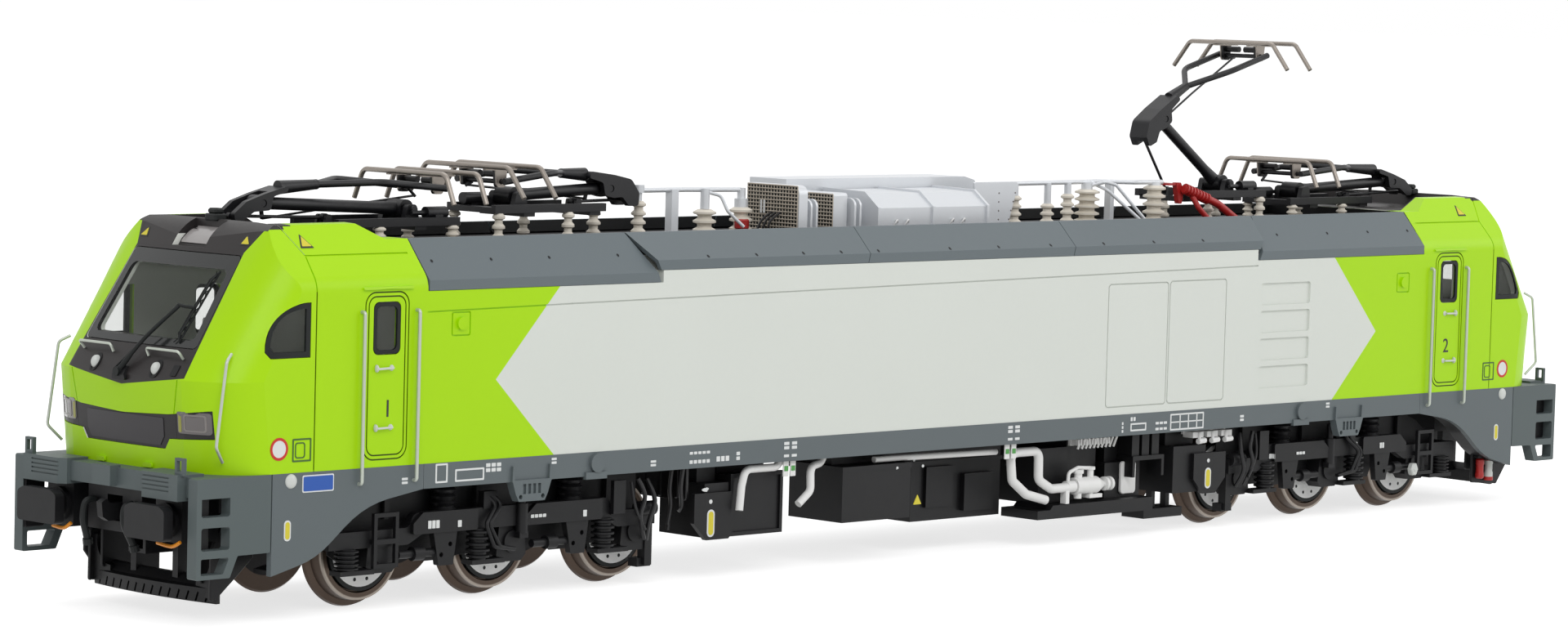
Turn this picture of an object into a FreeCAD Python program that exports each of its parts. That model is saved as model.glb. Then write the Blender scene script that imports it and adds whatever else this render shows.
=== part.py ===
import FreeCAD, Part
import math
import os
import re
from types import SimpleNamespace

from FreeCAD import Placement, Rotation, Vector

# Scale model electric locomotive on two three-axle bogies, with four roof pantographs
#
# Millimetres. X runs along the model towards cab 2, Y to its left side, Z up.
# Heights in the sheet are above the rail top; the flanges reach below it, and every
# sub-part is lifted by the flange depth, so that the model stands on z = 0.
# Cab 1 is drawn at the -X end and mirrored for cab 2.

DIMENSIONS = [
    # whole model
    ("flange_depth", 0.9), ("length_buffers", 264.6), ("half_width", 17.0),
    ("pivot_reach", 79.4), ("axle_spacing", 20.55), ("fit_gap", 0.15),
    # wheels
    ("tread_radius", 6.13), ("back_to_back", 14.4), ("tyre_width", 2.8), ("flange_width", 0.75),
    ("axle_radius", 1.0), ("hub_radius", 1.9), ("axle_stub", 1.3), ("disc_radius", 4.7),
    ("disc_proud", 0.15), ("web_depth", 0.5),
    # lengths of the body, from the buffers inwards
    ("buffer_reach", 2.1), ("nose_back", 3.0), ("nose_rise", 0.9), ("screen_lean", 9.4),
    ("cab_length", 30.95), ("cab_roof_out", 7.75), ("cab_ramp_out", 3.45), ("roof_round", 6.5),
    ("nose_corner", 7.6), ("nose_bow", 0.5), ("shoulder_y", 10.4), ("side_lean", 7.6),
    # heights and widths of the body
    ("sill_top", 16.7), ("sill_bottom", 13.76), ("wall", 1.0), ("cab_wall", 1.1),
    ("nose_kink_z", 27.3), ("screen_top_z", 41.7), ("cab_roof_z", 44.8), ("cab_crown_z", 45.3),
    ("cab_roof_in", 5.5), ("eaves_z", 38.3), ("eaves_round", 3.0),
    # cornice and roof deck
    ("cornice_in", 4.0), ("cornice_z", 43.0), ("cornice_thick", 0.6), ("cornice_low", 37.1),
    ("cornice_mid_low", 38.6), ("cornice_band", 1.2), ("cornice_edge", 0.8), ("deck_z", 41.4),
    ("deck_thick", 1.0),
    # nose: windscreen, lamp band and roof lamp
    ("glass_thick", 0.5), ("screen_low_z", 30.7), ("screen_high_z", 41.3), ("screen_low_y", 10.3),
    ("screen_high_y", 9.9), ("view_low_z", 31.6), ("view_high_z", 39.6), ("view_low_y", 9.2),
    ("view_high_y", 8.8), ("band_depth", 0.45), ("band_outer_y", 14.1), ("band_high_z", 24.0),
    ("band_low_z", 20.7), ("plate_y", 8.1), ("plate_low_z", 19.2), ("band_dip", 1.1),
    ("lamp_inner_y", 9.2), ("notch_y", 3.0), ("notch_depth", 0.9), ("groove_depth", 0.18),
    ("groove_width", 0.18),
    # side windows and doors
    ("side_window_back", 13.2), ("side_window_length", 6.5), ("side_window_low", 29.9),
    ("side_window_high", 36.25), ("door_gap", 2.85), ("door_length", 6.8), ("door_low", 17.5),
    ("door_high", 37.2), ("door_frame", 1.3), ("door_window_low", 29.8), ("door_window_high", 36.0),
    # underframe
    ("sill_proud", 0.05), ("sill_thick", 0.8), ("skirt_length", 33.8), ("skirt_low_z", 4.95),
    ("apron_length", 10.9), ("step_depth", 1.6), ("step_low_z", 5.24), ("beam_height", 2.3),
    ("floor_thick", 1.5), ("lug_half", 3.2), ("lug_drop", 2.4),
    ("buffer_y", 10.1), ("buffer_z", 11.38), ("buffer_head_width", 7.3), ("buffer_head_height", 4.0),
    ("buffer_head_thick", 1.3), ("buffer_shank_radius", 1.4), ("buffer_sleeve_radius", 2.0),
    ("housing_y", 5.0), ("housing_low_z", 9.1), ("pocket_z", 7.7), ("pocket_half", 1.6),
    ("plough_back", 6.6), ("plough_low_z", 1.4), ("plough_high_z", 4.3), ("plough_horn_z", 7.3),
    ("plough_half", 11.4), ("plough_sweep", 1.0), ("plough_thick", 0.6), ("plough_slots", 14),
    # bogies
    ("frame_y", 13.4), ("frame_thick", 1.1), ("frame_low_z", 8.1), ("frame_high_z", 10.6),
    ("bogie_outer", 29.2), ("bogie_inner", 23.4), ("bogie_pin_radius", 3.0), ("axlebox_half", 2.4),
    ("spring_radius", 1.45), ("spring_lead", 5.6), ("spring_low_z", 4.4), ("spring_turns", 5),
    # pantographs, the inner pair and the outer pair
    ("outer_pivot_in", 9.85), ("inner_pivot_in", 27.58), ("inner_pivot_z", 47.0),
    ("inner_lower", 16.2), ("inner_upper", 20.4), ("inner_head_half", 10.5),
    ("outer_pivot_z", 45.7), ("outer_lower", 22.3), ("outer_upper", 25.7), ("outer_head_half", 9.2),
    ("raised_lower_angle", 34.7), ("raised_upper_angle", 26.2), ("folded_lower_angle", 2.6),
    ("folded_upper_angle", 3.4), ("arm_radius", 0.75), ("fork_radius", 0.42), ("fork_half", 4.4),
    ("head_rise", 1.9), ("strip_spacing", 5.2), ("strip_radius", 0.32), ("horn_drop", 3.6),
    ("strip_half", 7.6), ("tail_length", 4.1), ("tail_angle", 197.9), ("rod_radius", 0.2),
    ("base_half", 4.1), ("base_tail", 6.0), ("base_drop", 1.9), ("pin_gap", 0.05),
    ("trough_z", 43.2), ("trough_half", 9.6), ("trough_gap", 5.2),
]

doc = FreeCAD.newDocument("ElectricLocomotive")
sheet = doc.addObject("Spreadsheet::Sheet", "Sizes")
for row, (alias, number) in enumerate(DIMENSIONS, 1):
    sheet.set(f"A{row}", alias)
    sheet.set(f"B{row}", str(number))
    sheet.setAlias(f"B{row}", alias)
doc.recompute()

s = SimpleNamespace(**{alias: float(sheet.get(alias)) for alias, number in DIMENSIONS})
TIES = {}
NODES = []


# Small tools for building the document

def formula(text):
    """A formula for an expression: the sheet's sizes and the tied places in the text."""
    def word(found):
        name = found.group()
        if name in TIES:
            return TIES[name]
        return "Sizes." + name if hasattr(s, name) else name
    return re.sub(r"[a-z]\w*", word, str(text))


def tie(place, **shares):
    """A place worked out from the sheet's sizes, both as a number and as a formula."""
    text = " + ".join(f"{share} * {name}" for name, share in shares.items())
    TIES[place] = "(" + formula(text) + ")"
    setattr(s, place, sum(share * getattr(s, name) for name, share in shares.items()))


def bind(thing, **formulas):
    """Bind properties to formulas over the sheet; two underscores stand for a dot."""
    for name, text in formulas.items():
        thing.setExpression(name.replace("__", "."), formula(text))
    return thing


def box(name, x, y, z):
    """A block between two faces along each axis, each face a formula."""
    block = doc.addObject("Part::Box", name)
    for side, (low, high) in zip(("Length", "Width", "Height"), (x, y, z)):
        block.setExpression(side, formula(f"({high}) - ({low})"))
    for axis, (low, high) in zip("xyz", (x, y, z)):
        block.setExpression(f"Placement.Base.{axis}", formula(low))
    return block


TURNS = {"x": Rotation(Vector(0, 1, 0), 90), "y": Rotation(Vector(1, 0, 0), -90), "z": Rotation()}


def rod(name, axis, radius, start, end, across):
    """A round bar along one axis from start to end; across holds its other two places."""
    bar = doc.addObject("Part::Cylinder", name)
    bar.Placement = Placement(Vector(), TURNS[axis])
    places = dict(zip([a for a in "xyz" if a != axis], across))
    places[axis] = start
    bar.setExpression("Radius", formula(radius))
    bar.setExpression("Height", formula(f"({end}) - ({start})"))
    for a, text in places.items():
        bar.setExpression(f"Placement.Base.{a}", formula(text))
    return bar


def fuse(name, pieces):
    joined = doc.addObject("Part::MultiFuse", name)
    joined.Shapes = pieces
    return joined


def cut(name, base, tool):
    left = doc.addObject("Part::Cut", name)
    left.Base = base
    left.Tool = tool
    return left


def mirror(name, source, normal=Vector(1, 0, 0)):
    copy = doc.addObject("Part::Mirroring", name)
    copy.Source = source
    copy.Normal = normal
    return copy


def both_sides(pieces):
    """The pieces and their mirror images across the model's middle."""
    return pieces + [mirror(piece.Name + "_left", piece, Vector(0, 1, 0)) for piece in pieces]


def feature(name, shape):
    """A shape worked out from the sheet's sizes by Part's own functions."""
    thing = doc.addObject("Part::Feature", name)
    thing.Shape = shape
    return thing


def node(label, pieces):
    """One sub-part of the model: its solids, lifted from the rail top to the flanges' foot."""
    whole = doc.addObject("Part::Compound", label + "_part")
    whole.Links = pieces
    whole.Label = label
    bind(whole, Placement__Base__z="flange_depth")
    NODES.append(whole)
    return whole


def both_ends(label, pieces):
    """A sub-part at cab 1 and its mirror image at cab 2."""
    node(f"{label}_1", pieces)
    node(f"{label}_2", [mirror(piece.Name + "_2", piece) for piece in pieces])


def outline(points, radius=0.0):
    """Lines and corner arcs round a closed polygon of (a, b) points, or (a, b, radius)."""
    edges = []
    corners = []
    count = len(points)
    for index, point in enumerate(points):
        here = Vector(point[0], point[1])
        before = Vector(*points[index - 1][:2]) - here
        after = Vector(*points[(index + 1) % count][:2]) - here
        turn = before.getAngle(after)
        bend = point[2] if len(point) > 2 else radius
        if bend <= 0 or turn > 3.1:
            corners.append((here, None, here))
            continue
        back = bend / math.tan(turn / 2)
        middle_way = (before.normalize() + after.normalize()).normalize()
        centre = here + middle_way * (bend / math.sin(turn / 2))
        corners.append((here + before * back, centre - middle_way * bend, here + after * back))
    for index, (start, middle, end) in enumerate(corners):
        if middle is not None:
            edges.append(Part.Arc(start, middle, end))
        following = corners[(index + 1) % count][0]
        if (following - end).Length > 1e-6:
            edges.append(Part.LineSegment(end, following))
    return edges


PLANES = {"XY_Plane": (Vector(1, 0, 0), Vector(0, 1, 0)), "XZ_Plane": (Vector(1, 0, 0),
                                                                       Vector(0, 0, 1)),
          "YZ_Plane": (Vector(0, 1, 0), Vector(0, 0, 1))}


def pad(name, plane, outlines, low, high):
    """A body with a sketch on an origin plane padded between two faces."""
    body = doc.addObject("PartDesign::Body", name)
    sketch = body.newObject("Sketcher::SketchObject", name + "_sketch")
    flat = [o for o in body.Origin.OriginFeatures if o.Role == plane][0]
    sketch.AttachmentSupport = [(flat, "")]
    sketch.MapMode = "FlatFace"
    for edges in outlines:
        sketch.addGeometry(edges, False)
    depth = body.newObject("PartDesign::Pad", name + "_pad")
    depth.Profile = sketch
    depth.setExpression("Length", formula(f"({high}) - ({low})"))
    start = f"-({high})" if plane == "XZ_Plane" else low
    sketch.setExpression("AttachmentOffset.Base.z", formula(start))
    sketch.Visibility = False
    return body


def prism(points, plane, low, high, radius=0.0):
    """A solid over a closed outline between two faces, as a shape."""
    return extruded(outline(points, radius), plane, low, high)


def extruded(edges, plane, low, high):
    """A solid over closed edges drawn in a plane's own two directions."""
    right, up = PLANES[plane]
    normal = right.cross(up)
    toward = Vector(abs(normal.x), abs(normal.y), abs(normal.z))
    frame = FreeCAD.Matrix(right.x, up.x, normal.x, 0, right.y, up.y, normal.y, 0,
                           right.z, up.z, normal.z, 0, 0, 0, 0, 1)
    face = Part.Face(Part.Wire([edge.toShape() for edge in edges])).transformed(frame)
    face.translate(toward * low)
    return face.extrude(toward * (high - low))


def tube(points, radius, bend=0.0):
    """A round bar along straight runs joined by tangent arcs."""
    edges = []
    last = Vector(*points[0])
    for index in range(1, len(points) - 1):
        here = Vector(*points[index])
        before = (Vector(*points[index - 1]) - here).normalize()
        after = (Vector(*points[index + 1]) - here).normalize()
        half = before.getAngle(after) / 2
        back = bend / math.tan(half)
        middle_way = (before + after).normalize()
        start = here + before * back
        middle = here + middle_way * (bend / math.sin(half) - bend)
        end = here + after * back
        edges.append(Part.LineSegment(last, start).toShape())
        edges.append(Part.Arc(start, middle, end).toShape())
        last = end
    edges.append(Part.LineSegment(last, Vector(*points[-1])).toShape())
    path = Part.Wire(edges)
    way = Vector(*points[1]) - Vector(*points[0])
    section = Part.Wire([Part.Circle(Vector(*points[0]), way, radius).toShape()])
    return path.makePipeShell([section], True, False)


def block(x, y, z):
    """A block between two faces along each axis, as a shape."""
    return Part.makeBox(x[1] - x[0], y[1] - y[0], z[1] - z[0], Vector(x[0], y[0], z[0]))


def turned(profile, at):
    """A solid revolved about an upright line from a closed (radius, height) profile."""
    points = [Vector(radius, 0, height) for radius, height in profile]
    face = Part.Face(Part.makePolygon(points + [points[0]]))
    solid = face.revolve(Vector(), Vector(0, 0, 1), 360)
    solid.translate(Vector(*at))
    return solid


# Places tied to the sizes

tie("half_length", length_buffers=0.5)
tie("apron_front", half_length=1, buffer_reach=-1)
tie("nose_x", apron_front=1, nose_back=-1)
tie("nose_kink_x", nose_x=1, nose_rise=1)
tie("screen_top_x", nose_kink_x=1, screen_lean=-1)
tie("cornice_reach", nose_x=1, cab_length=-1)
tie("cap_rear_x", cornice_reach=1, cab_roof_out=1)
tie("ramp_rear_x", cornice_reach=1, cab_ramp_out=1)
tie("cornice_y", half_width=1, cornice_in=-1)
tie("cab_roof_y", half_width=1, cab_roof_in=-1)
tie("sill_y", half_width=1, sill_proud=1)
tie("skirt_end", apron_front=1, apron_length=-1)
tie("skirt_start", apron_front=1, skirt_length=-1)
tie("window_rear", nose_x=1, side_window_back=-1)
tie("window_front", window_rear=1, side_window_length=1)
tie("door_rear", cornice_reach=1, door_gap=1)
tie("door_front", door_rear=1, door_length=1)
tie("outer_pivot_x", cornice_reach=1, outer_pivot_in=-1)
tie("inner_pivot_x", cornice_reach=1, inner_pivot_in=-1)
tie("trough_end", outer_pivot_x=1, outer_lower=1, trough_gap=1)
tie("deck_low", deck_z=1, deck_thick=-1)
tie("floor_low", sill_top=1, floor_thick=-1)
tie("plough_x", apron_front=1, plough_back=-1)
tie("frame_out", frame_y=1, frame_thick=1)


# Body shell

def plan_outline(z, inset):
    """The cab's outline at one height: flat sides, round corners and a bowed front."""
    side = s.half_width - inset
    if z <= s.nose_kink_z:
        share = (z - s.sill_top) / (s.nose_kink_z - s.sill_top)
        front = s.nose_x + share * s.nose_rise
    else:
        share = (z - s.nose_kink_z) / (s.screen_top_z - s.nose_kink_z)
        front = s.nose_kink_x - share * s.screen_lean
    tangent = s.nose_x - s.nose_corner + min(share, 1) * 1.2 - inset
    if z > s.nose_kink_z:
        tangent = s.nose_x - s.nose_corner + 1.2 - share * s.side_lean - inset
    front -= inset
    shoulder = (front - s.nose_bow, s.shoulder_y - inset * 0.5)
    corner_x = tangent + 0.66 * (shoulder[0] - tangent)
    corner_y = side - 0.32 * (side - shoulder[1])
    points = [Vector(-s.cornice_reach, side, z), Vector(-tangent, side, z),
              Vector(-corner_x, corner_y, z), Vector(-shoulder[0], shoulder[1], z),
              Vector(-front, 0, z)]
    flip = [Vector(p.x, -p.y, z) for p in points]
    edges = [Part.LineSegment(points[0], points[1]), Part.Arc(points[1], points[2], points[3]),
             Part.Arc(points[3], points[4], flip[3]), Part.Arc(flip[3], flip[2], flip[1]),
             Part.LineSegment(flip[1], flip[0]), Part.LineSegment(flip[0], points[0])]
    return Part.Wire([edge.toShape() for edge in edges])


def cab_solid(inset, floor_z):
    """The cab's outer form, or the form a given depth inside it."""
    top = s.cab_crown_z + 1
    levels = [floor_z, s.nose_kink_z, s.screen_top_z, top]
    loft = Part.makeLoft([plan_outline(z, inset) for z in levels], True, True)
    side = s.half_width + 1
    flat = s.half_width - inset
    bend = s.eaves_round - inset
    section = [(-flat, floor_z - 1), (flat, floor_z - 1), (flat, s.eaves_z - inset * 0.3, bend),
               (s.cab_roof_y, s.cab_roof_z - inset), (0, s.cab_crown_z - inset),
               (-s.cab_roof_y, s.cab_roof_z - inset), (-flat, s.eaves_z - inset * 0.3, bend)]
    roof = prism(section, "YZ_Plane", -s.half_length, 0)
    # the roof's front is round where the windscreen's slope runs out into it
    lean = s.screen_lean / (s.screen_top_z - s.nose_kink_z)
    crown = s.cab_crown_z - inset
    out = s.nose_kink_x - inset + 0.02
    corner_x = out - lean * (crown - s.nose_kink_z)
    foot_z = s.nose_kink_z - (2 + inset) / lean
    profile = [(-s.half_length, floor_z - 1), (-s.cornice_reach + 1, floor_z - 1),
               (-s.cornice_reach + 1, s.cornice_z - inset), (-s.ramp_rear_x, s.cornice_z - inset),
               (-s.cap_rear_x, crown), (-corner_x, crown, s.roof_round - inset),
               (-s.nose_kink_x - 2.02, foot_z), (-s.half_length, foot_z)]
    length = prism(profile, "XZ_Plane", -side, side)
    trough_x, trough_floor = -s.trough_end - inset, s.trough_z - inset
    trough = prism([(trough_x, trough_floor), (trough_x - 1.2, trough_floor + 2.1),
                    (trough_x - 1.2, trough_floor + 10), (-s.cornice_reach + 1, trough_floor + 10),
                    (-s.cornice_reach + 1, trough_floor)],
                   "XZ_Plane", -s.trough_half - inset, s.trough_half + inset)
    return loft.common(roof).common(length).cut(trough)


def skin(depth, thickness):
    """A layer of the cab's wall, from a depth under its outer face to the depth plus a thickness."""
    return cab_solid(depth, s.sill_top).cut(cab_solid(depth + thickness, s.sill_top - 1))


def nose_prism(points, radius=0.0):
    """A prism along the model over an outline seen from the front, through cab 1's nose."""
    return prism(points, "YZ_Plane", -s.half_length, -s.screen_top_x + s.roof_round, radius)


def even(half):
    """An outline seen from the front, closed by its mirror image about the middle."""
    return half + [(-point[0],) + point[1:] for point in reversed(half)]


def side_window(gap):
    """The cab's side window: straight foot and rear edge under a long curve."""
    front, rear = -s.window_front + gap, -s.window_rear - gap
    low, high = s.side_window_low + gap, s.side_window_high - gap
    length, height = rear - front, high - low
    corners = [Vector(front + 0.1 * length, low), Vector(rear, low), Vector(rear, high),
               Vector(rear - 0.08 * length, high), Vector(front + 0.32 * length, high - 0.24 * height),
               Vector(front, low + 0.12 * height)]
    edges = [Part.LineSegment(corners[0], corners[1]), Part.LineSegment(corners[1], corners[2]),
             Part.LineSegment(corners[2], corners[3]), Part.Arc(corners[3], corners[4], corners[5]),
             Part.LineSegment(corners[5], corners[0])]
    return edges


def door_window(gap):
    front, rear = -s.door_front + s.door_frame + gap, -s.door_rear - s.door_frame - gap
    low, high = s.door_window_low + gap, s.door_window_high - gap
    return outline([(front, low), (rear, low), (rear, high), (front, high)], 0.8)


def through_wall(edges):
    """A solid over an outline seen from the side, through both side walls."""
    return extruded(edges, "XZ_Plane", -s.half_width - 1, s.half_width + 1)


def ring(front, rear, low, high, radius):
    """A closed groove of one width round a rectangle with round corners."""
    wide = s.groove_width
    outer = through_wall(outline([(front, low), (rear, low), (rear, high), (front, high)], radius))
    inner = through_wall(outline([(front + wide, low + wide), (rear - wide, low + wide),
                                  (rear - wide, high - wide), (front + wide, high - wide)],
                                  radius - wide))
    return outer.cut(inner)


def line(start, end):
    """A straight groove between two places seen from the side."""
    way = Vector(end[0] - start[0], end[1] - start[1])
    across = Vector(-way.y, way.x).normalize() * (s.groove_width / 2)
    corners = [Vector(*start) + across, Vector(*start) - across, Vector(*end) - across,
               Vector(*end) + across]
    return through_wall(outline([(corner.x, corner.y) for corner in corners]))


SCREEN = even([(s.screen_low_y, s.screen_low_z, 0.6), (s.screen_high_y, s.screen_high_z, 0.6)])
VIEW = even([(s.view_low_y, s.view_low_z, 0.8), (s.view_high_y, s.view_high_z, 0.8)])


def band_outline(gap):
    """The lamp band across the nose, with the blank panel's lower edge in the middle."""
    outer, panel = s.band_outer_y - gap, s.plate_y - gap
    return even([(panel - 0.8, s.plate_low_z + gap), (panel, s.band_low_z - 0.3 + gap),
                 (outer, s.band_low_z + gap), (outer - 0.1, s.band_high_z - gap),
                 (panel, s.band_high_z - s.band_dip + 0.35 - gap),
                 (0.5, s.band_high_z - s.band_dip - gap)])


def cab_grooves():
    """The panel lines of one cab: door, roof cover and nose joint."""
    front, rear = -s.door_front, -s.door_rear
    joint = -s.window_rear + 0.8
    cuts = [ring(front, rear, s.door_low, s.door_high, 1.6),
            ring(front + 0.5, rear - 0.5, s.door_low + 0.5, s.door_high - 0.5, 1.2),
            line((joint, s.sill_top), (joint, s.eaves_z - 0.2)),
            line((joint, s.eaves_z - 0.2), (joint + 0.3, s.deck_z)),
            line((joint + 0.3, s.deck_z), (-s.cornice_reach - 1, s.deck_z)),
            line((joint + 0.3, s.deck_z), (joint - 1.7, s.cab_roof_z + 0.3))]
    seam = even([(9.9, s.nose_kink_z), (9.1, s.band_high_z - 0.6),
                 (9.1 - s.groove_width, s.band_high_z - 0.6),
                 (9.9 - s.groove_width, s.nose_kink_z)])
    nose_seams = nose_prism(seam[:4]).fuse(nose_prism(seam[4:]))
    return cuts[0].fuse(cuts[1:] + [nose_seams]).cut(cab_solid(s.groove_depth, s.sill_top - 1))


def shell_shape():
    """One hollow moulding: both cabs and the side walls between them."""
    outer = cab_solid(0, s.sill_top)
    cab = outer.cut(cab_solid(s.cab_wall, s.sill_top - 1))
    # the roof lamp's notch in a thickened part of the roof's front
    thick = block((-s.screen_top_x - 2, -s.screen_top_x + 6.5), (-s.notch_y - 1, s.notch_y + 1),
                  (s.screen_high_z + 0.3, s.cab_crown_z + 1))
    cab = cab.fuse(outer.common(thick).cut(cab_solid(s.cab_wall + s.notch_depth, s.sill_top)))
    notch = prism([(-s.notch_y, s.screen_high_z + 0.5), (s.notch_y, s.screen_high_z + 0.5),
                   (s.notch_y, s.cab_crown_z + 1), (-s.notch_y, s.cab_crown_z + 1)],
                  "YZ_Plane", -s.half_length, -s.screen_top_x + 3.6)
    cab = cab.cut(notch.cut(cab_solid(s.notch_depth, s.sill_top)))
    # windscreen seat and view, lamp band, side windows and doors
    cab = cab.cut(nose_prism(SCREEN).cut(cab_solid(s.glass_thick + 0.05, s.sill_top)))
    cab = cab.cut(nose_prism(VIEW))
    cab = cab.cut(nose_prism(band_outline(0)).cut(cab_solid(s.band_depth, s.sill_top)))
    cab = cab.cut([through_wall(side_window(0)), through_wall(door_window(0)), cab_grooves()])
    bulkhead = outer.common(block((-s.cornice_reach - s.cab_wall, -s.cornice_reach),
                                  (-s.half_width, s.half_width), (s.sill_top, s.cab_crown_z)))
    cab = cab.fuse(bulkhead)
    # side walls, stepped in under the cornice
    slope = (s.cornice_in) / (s.cornice_z - s.cornice_low - s.cornice_band)
    tuck = s.cornice_thick + s.fit_gap
    step = s.half_width - tuck - 0.35

    def under(z):
        return s.half_width - s.cornice_thick * 1.3 - 2 * s.fit_gap - (z - s.cornice_low - s.cornice_band) * slope

    inner = s.half_width - s.wall
    mid_low = s.cornice_mid_low - 0.05
    top = s.deck_z - 0.2
    side = [(s.half_width, s.sill_top), (s.half_width, mid_low), (under(mid_low), mid_low),
            (under(top), top),
            (s.cornice_y - 1.2, top), (inner - 1.6, mid_low - 1.2), (inner, mid_low - 3.4),
            (inner, s.sill_top)]
    wall = prism(side, "YZ_Plane", -s.cornice_reach, s.cornice_reach)
    for x in ((-s.cornice_reach, -57.9), (57.9, s.cornice_reach)):
        wall = wall.cut(block(x, (step, s.half_width + 1), (s.cornice_low - 0.05, mid_low + 1)))
    # panel lines of the side walls
    depth = block((-s.cornice_reach, s.cornice_reach), (s.half_width - s.groove_depth,
                                                        s.half_width + 1),
                  (s.sill_top, mid_low))
    lines = [ring(26.0, 38.7, s.sill_top + 1, 34.6, 0.6), ring(38.9, 51.2, s.sill_top + 1, 34.7, 0.6),
             line((-s.cornice_reach, 34.6), (-73, 34.9)), line((-73, 34.9), (58, 36.3))]
    lines += [ring(x - 1.5, x + 1.5, 31.6, 34.5, 0.3) for x in (-91, 91.4)]
    wall = wall.cut(depth.common(lines[0].fuse(lines[1:])))
    # louvred access ladder recess behind the second arrow
    for low in (19.0, 22.9, 26.8, 30.7):
        wall = wall.cut(prism([(58.9, low), (69.9, low), (69.9, low + 3.1), (58.9, low + 3.1)],
                              "XZ_Plane",
                              s.half_width - 0.3, s.half_width + 1, 0.4))
    whole = cab.fuse([cab.mirror(Vector(), Vector(1, 0, 0)), wall,
                      wall.mirror(Vector(), Vector(0, 1, 0))])
    # the round caps on both sides
    for x in (-91, 91.4):
        whole = whole.fuse(Part.makeCylinder(0.75, 2 * s.half_width + 0.7,
                                             Vector(x, -s.half_width - 0.35, 33.1),
                                             Vector(0, 1, 0)).cut(block((x - 1, x + 1),
                                                                        (-inner, inner), (32, 35))))
    return whole.removeSplitter()


node("body_shell", [feature("shell", shell_shape())])


# Cornice panels along the roof edge, with slanted joints

def cornice_panel(name, top_ends, low_ends, low):
    reach = s.half_width + 0.05
    eaves = low + s.cornice_band
    across = Vector(0, eaves - s.cornice_z, reach - s.cornice_y).normalize() * s.cornice_thick
    edge = -s.cornice_y + s.cornice_edge
    section = [(-reach, low), (-reach, eaves), (-s.cornice_y, s.cornice_z), (edge, s.cornice_z),
               (edge, s.deck_z + s.fit_gap), (-s.cornice_y - across.y, s.cornice_z - across.z - 0.3),
               (-reach + s.cornice_thick, eaves - 0.3), (-reach + s.cornice_thick, low)]
    band = prism(section, "YZ_Plane", -s.cornice_reach, s.cornice_reach)
    ends = [(top_ends[0], s.cornice_z + 1), (low_ends[0], low - 1), (low_ends[1], low - 1),
            (top_ends[1], s.cornice_z + 1)]
    return feature(name, band.common(prism(ends, "XZ_Plane", -reach - 1, 0)))


reach = s.cornice_reach - s.fit_gap
joints = [(-61.4, -57.8), (-19.9, -21.7), (20.15, 18.3), (61.4, 57.8)]
gap = 0.06
panels = []
starts = [(-reach, -reach)] + [(top + gap, low + gap) for top, low in joints]
ends = [(top - gap, low - gap) for top, low in joints] + [(reach, reach)]
for index, (start, end) in enumerate(zip(starts, ends)):
    outer = index in (0, len(joints))
    panels.append(cornice_panel(f"cornice_{index}", (start[0], end[0]), (start[1], end[1]),
                                s.cornice_low if outer else s.cornice_mid_low))
node("cornice", both_sides(panels))

deck = [box("deck", ("-cornice_reach + 0.2", "cornice_reach - 0.2"),
            ("-cornice_y + 1.4", "cornice_y - 1.4"), ("deck_low", "deck_z"))]
node("roof_deck", deck)

node("ballast_block", [box("ballast", ("-cornice_reach + 3", "cornice_reach - 3"),
                           ("-half_width + 4", "half_width - 4"), ("sill_top", "deck_z - 4"))])


# Windscreens, windows, lamp bands and cab insides

both_ends("windscreen", [feature("windscreen_glass", skin(0.05, s.glass_thick - 0.05).common(
    nose_prism(even([(s.screen_low_y - 0.06, s.screen_low_z + 0.06, 0.55),
                     (s.screen_high_y - 0.06, s.screen_high_z - 0.06, 0.55)]))))])

glass = skin(0.3, s.glass_thick)
panes = []
for name, edges in (("side", side_window(0.04)), ("door", door_window(0.04))):
    both = glass.common(through_wall(edges)).Solids
    panes += [feature(f"{name}_pane_{index}", pane) for index, pane in enumerate(both)]
both_ends("cab_windows", panes)

band = skin(0.12, s.band_depth - 0.12).common(nose_prism(band_outline(0.05)))
lamps = []
for side in (-1, 1):
    places = sorted((side * (s.lamp_inner_y), side * (s.band_outer_y + 1)))
    lamps.append(band.common(block((-s.half_length, -s.screen_top_x + 1), places,
                                   (s.plate_low_z - 1, s.band_high_z + 1))))
middle = band.cut(block((-s.half_length, -s.screen_top_x + 1),
                        (-s.half_width, -s.lamp_inner_y + 0.03),
                        (s.plate_low_z - 1, s.band_high_z + 1)))
middle = middle.cut(block((-s.half_length, -s.screen_top_x + 1),
                          (s.lamp_inner_y - 0.03, s.half_width),
                          (s.plate_low_z - 1, s.band_high_z + 1)))
both_ends("lamp_bands", [feature("band_middle", middle)]
          + [feature(f"band_lamp_{index}", lamp) for index, lamp in enumerate(lamps)])

desk_front, desk_rear = -s.nose_x + 3, -s.nose_x + 8.5
desk = prism([(desk_front, s.sill_top + 0.2), (desk_rear - 2, s.sill_top + 0.2), (desk_rear, 25.6),
              (desk_rear, 26.4), (desk_front + 1.5, 28.6), (desk_front, 28.6)], "XZ_Plane", -9.5, 9.5,
              0.2)
seat_x = desk_rear + 5.5
seat = prism([(seat_x - 0.8, s.sill_top + 0.2), (seat_x + 0.8, s.sill_top + 0.2), (seat_x + 0.8, 22.5),
              (seat_x + 2.2, 23), (seat_x + 3.2, 32.8, 0.4), (seat_x + 2.1, 32.8, 0.3),
              (seat_x + 1.2, 25),
              (seat_x - 2.6, 24.6, 0.4), (seat_x - 2.6, 23), (seat_x - 0.8, 22.5)], "XZ_Plane", 2.2,
              6.4)
both_ends("cab_interior", [feature("desk", desk), feature("seat", seat)])


# Underframe, sills and skirts

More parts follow.
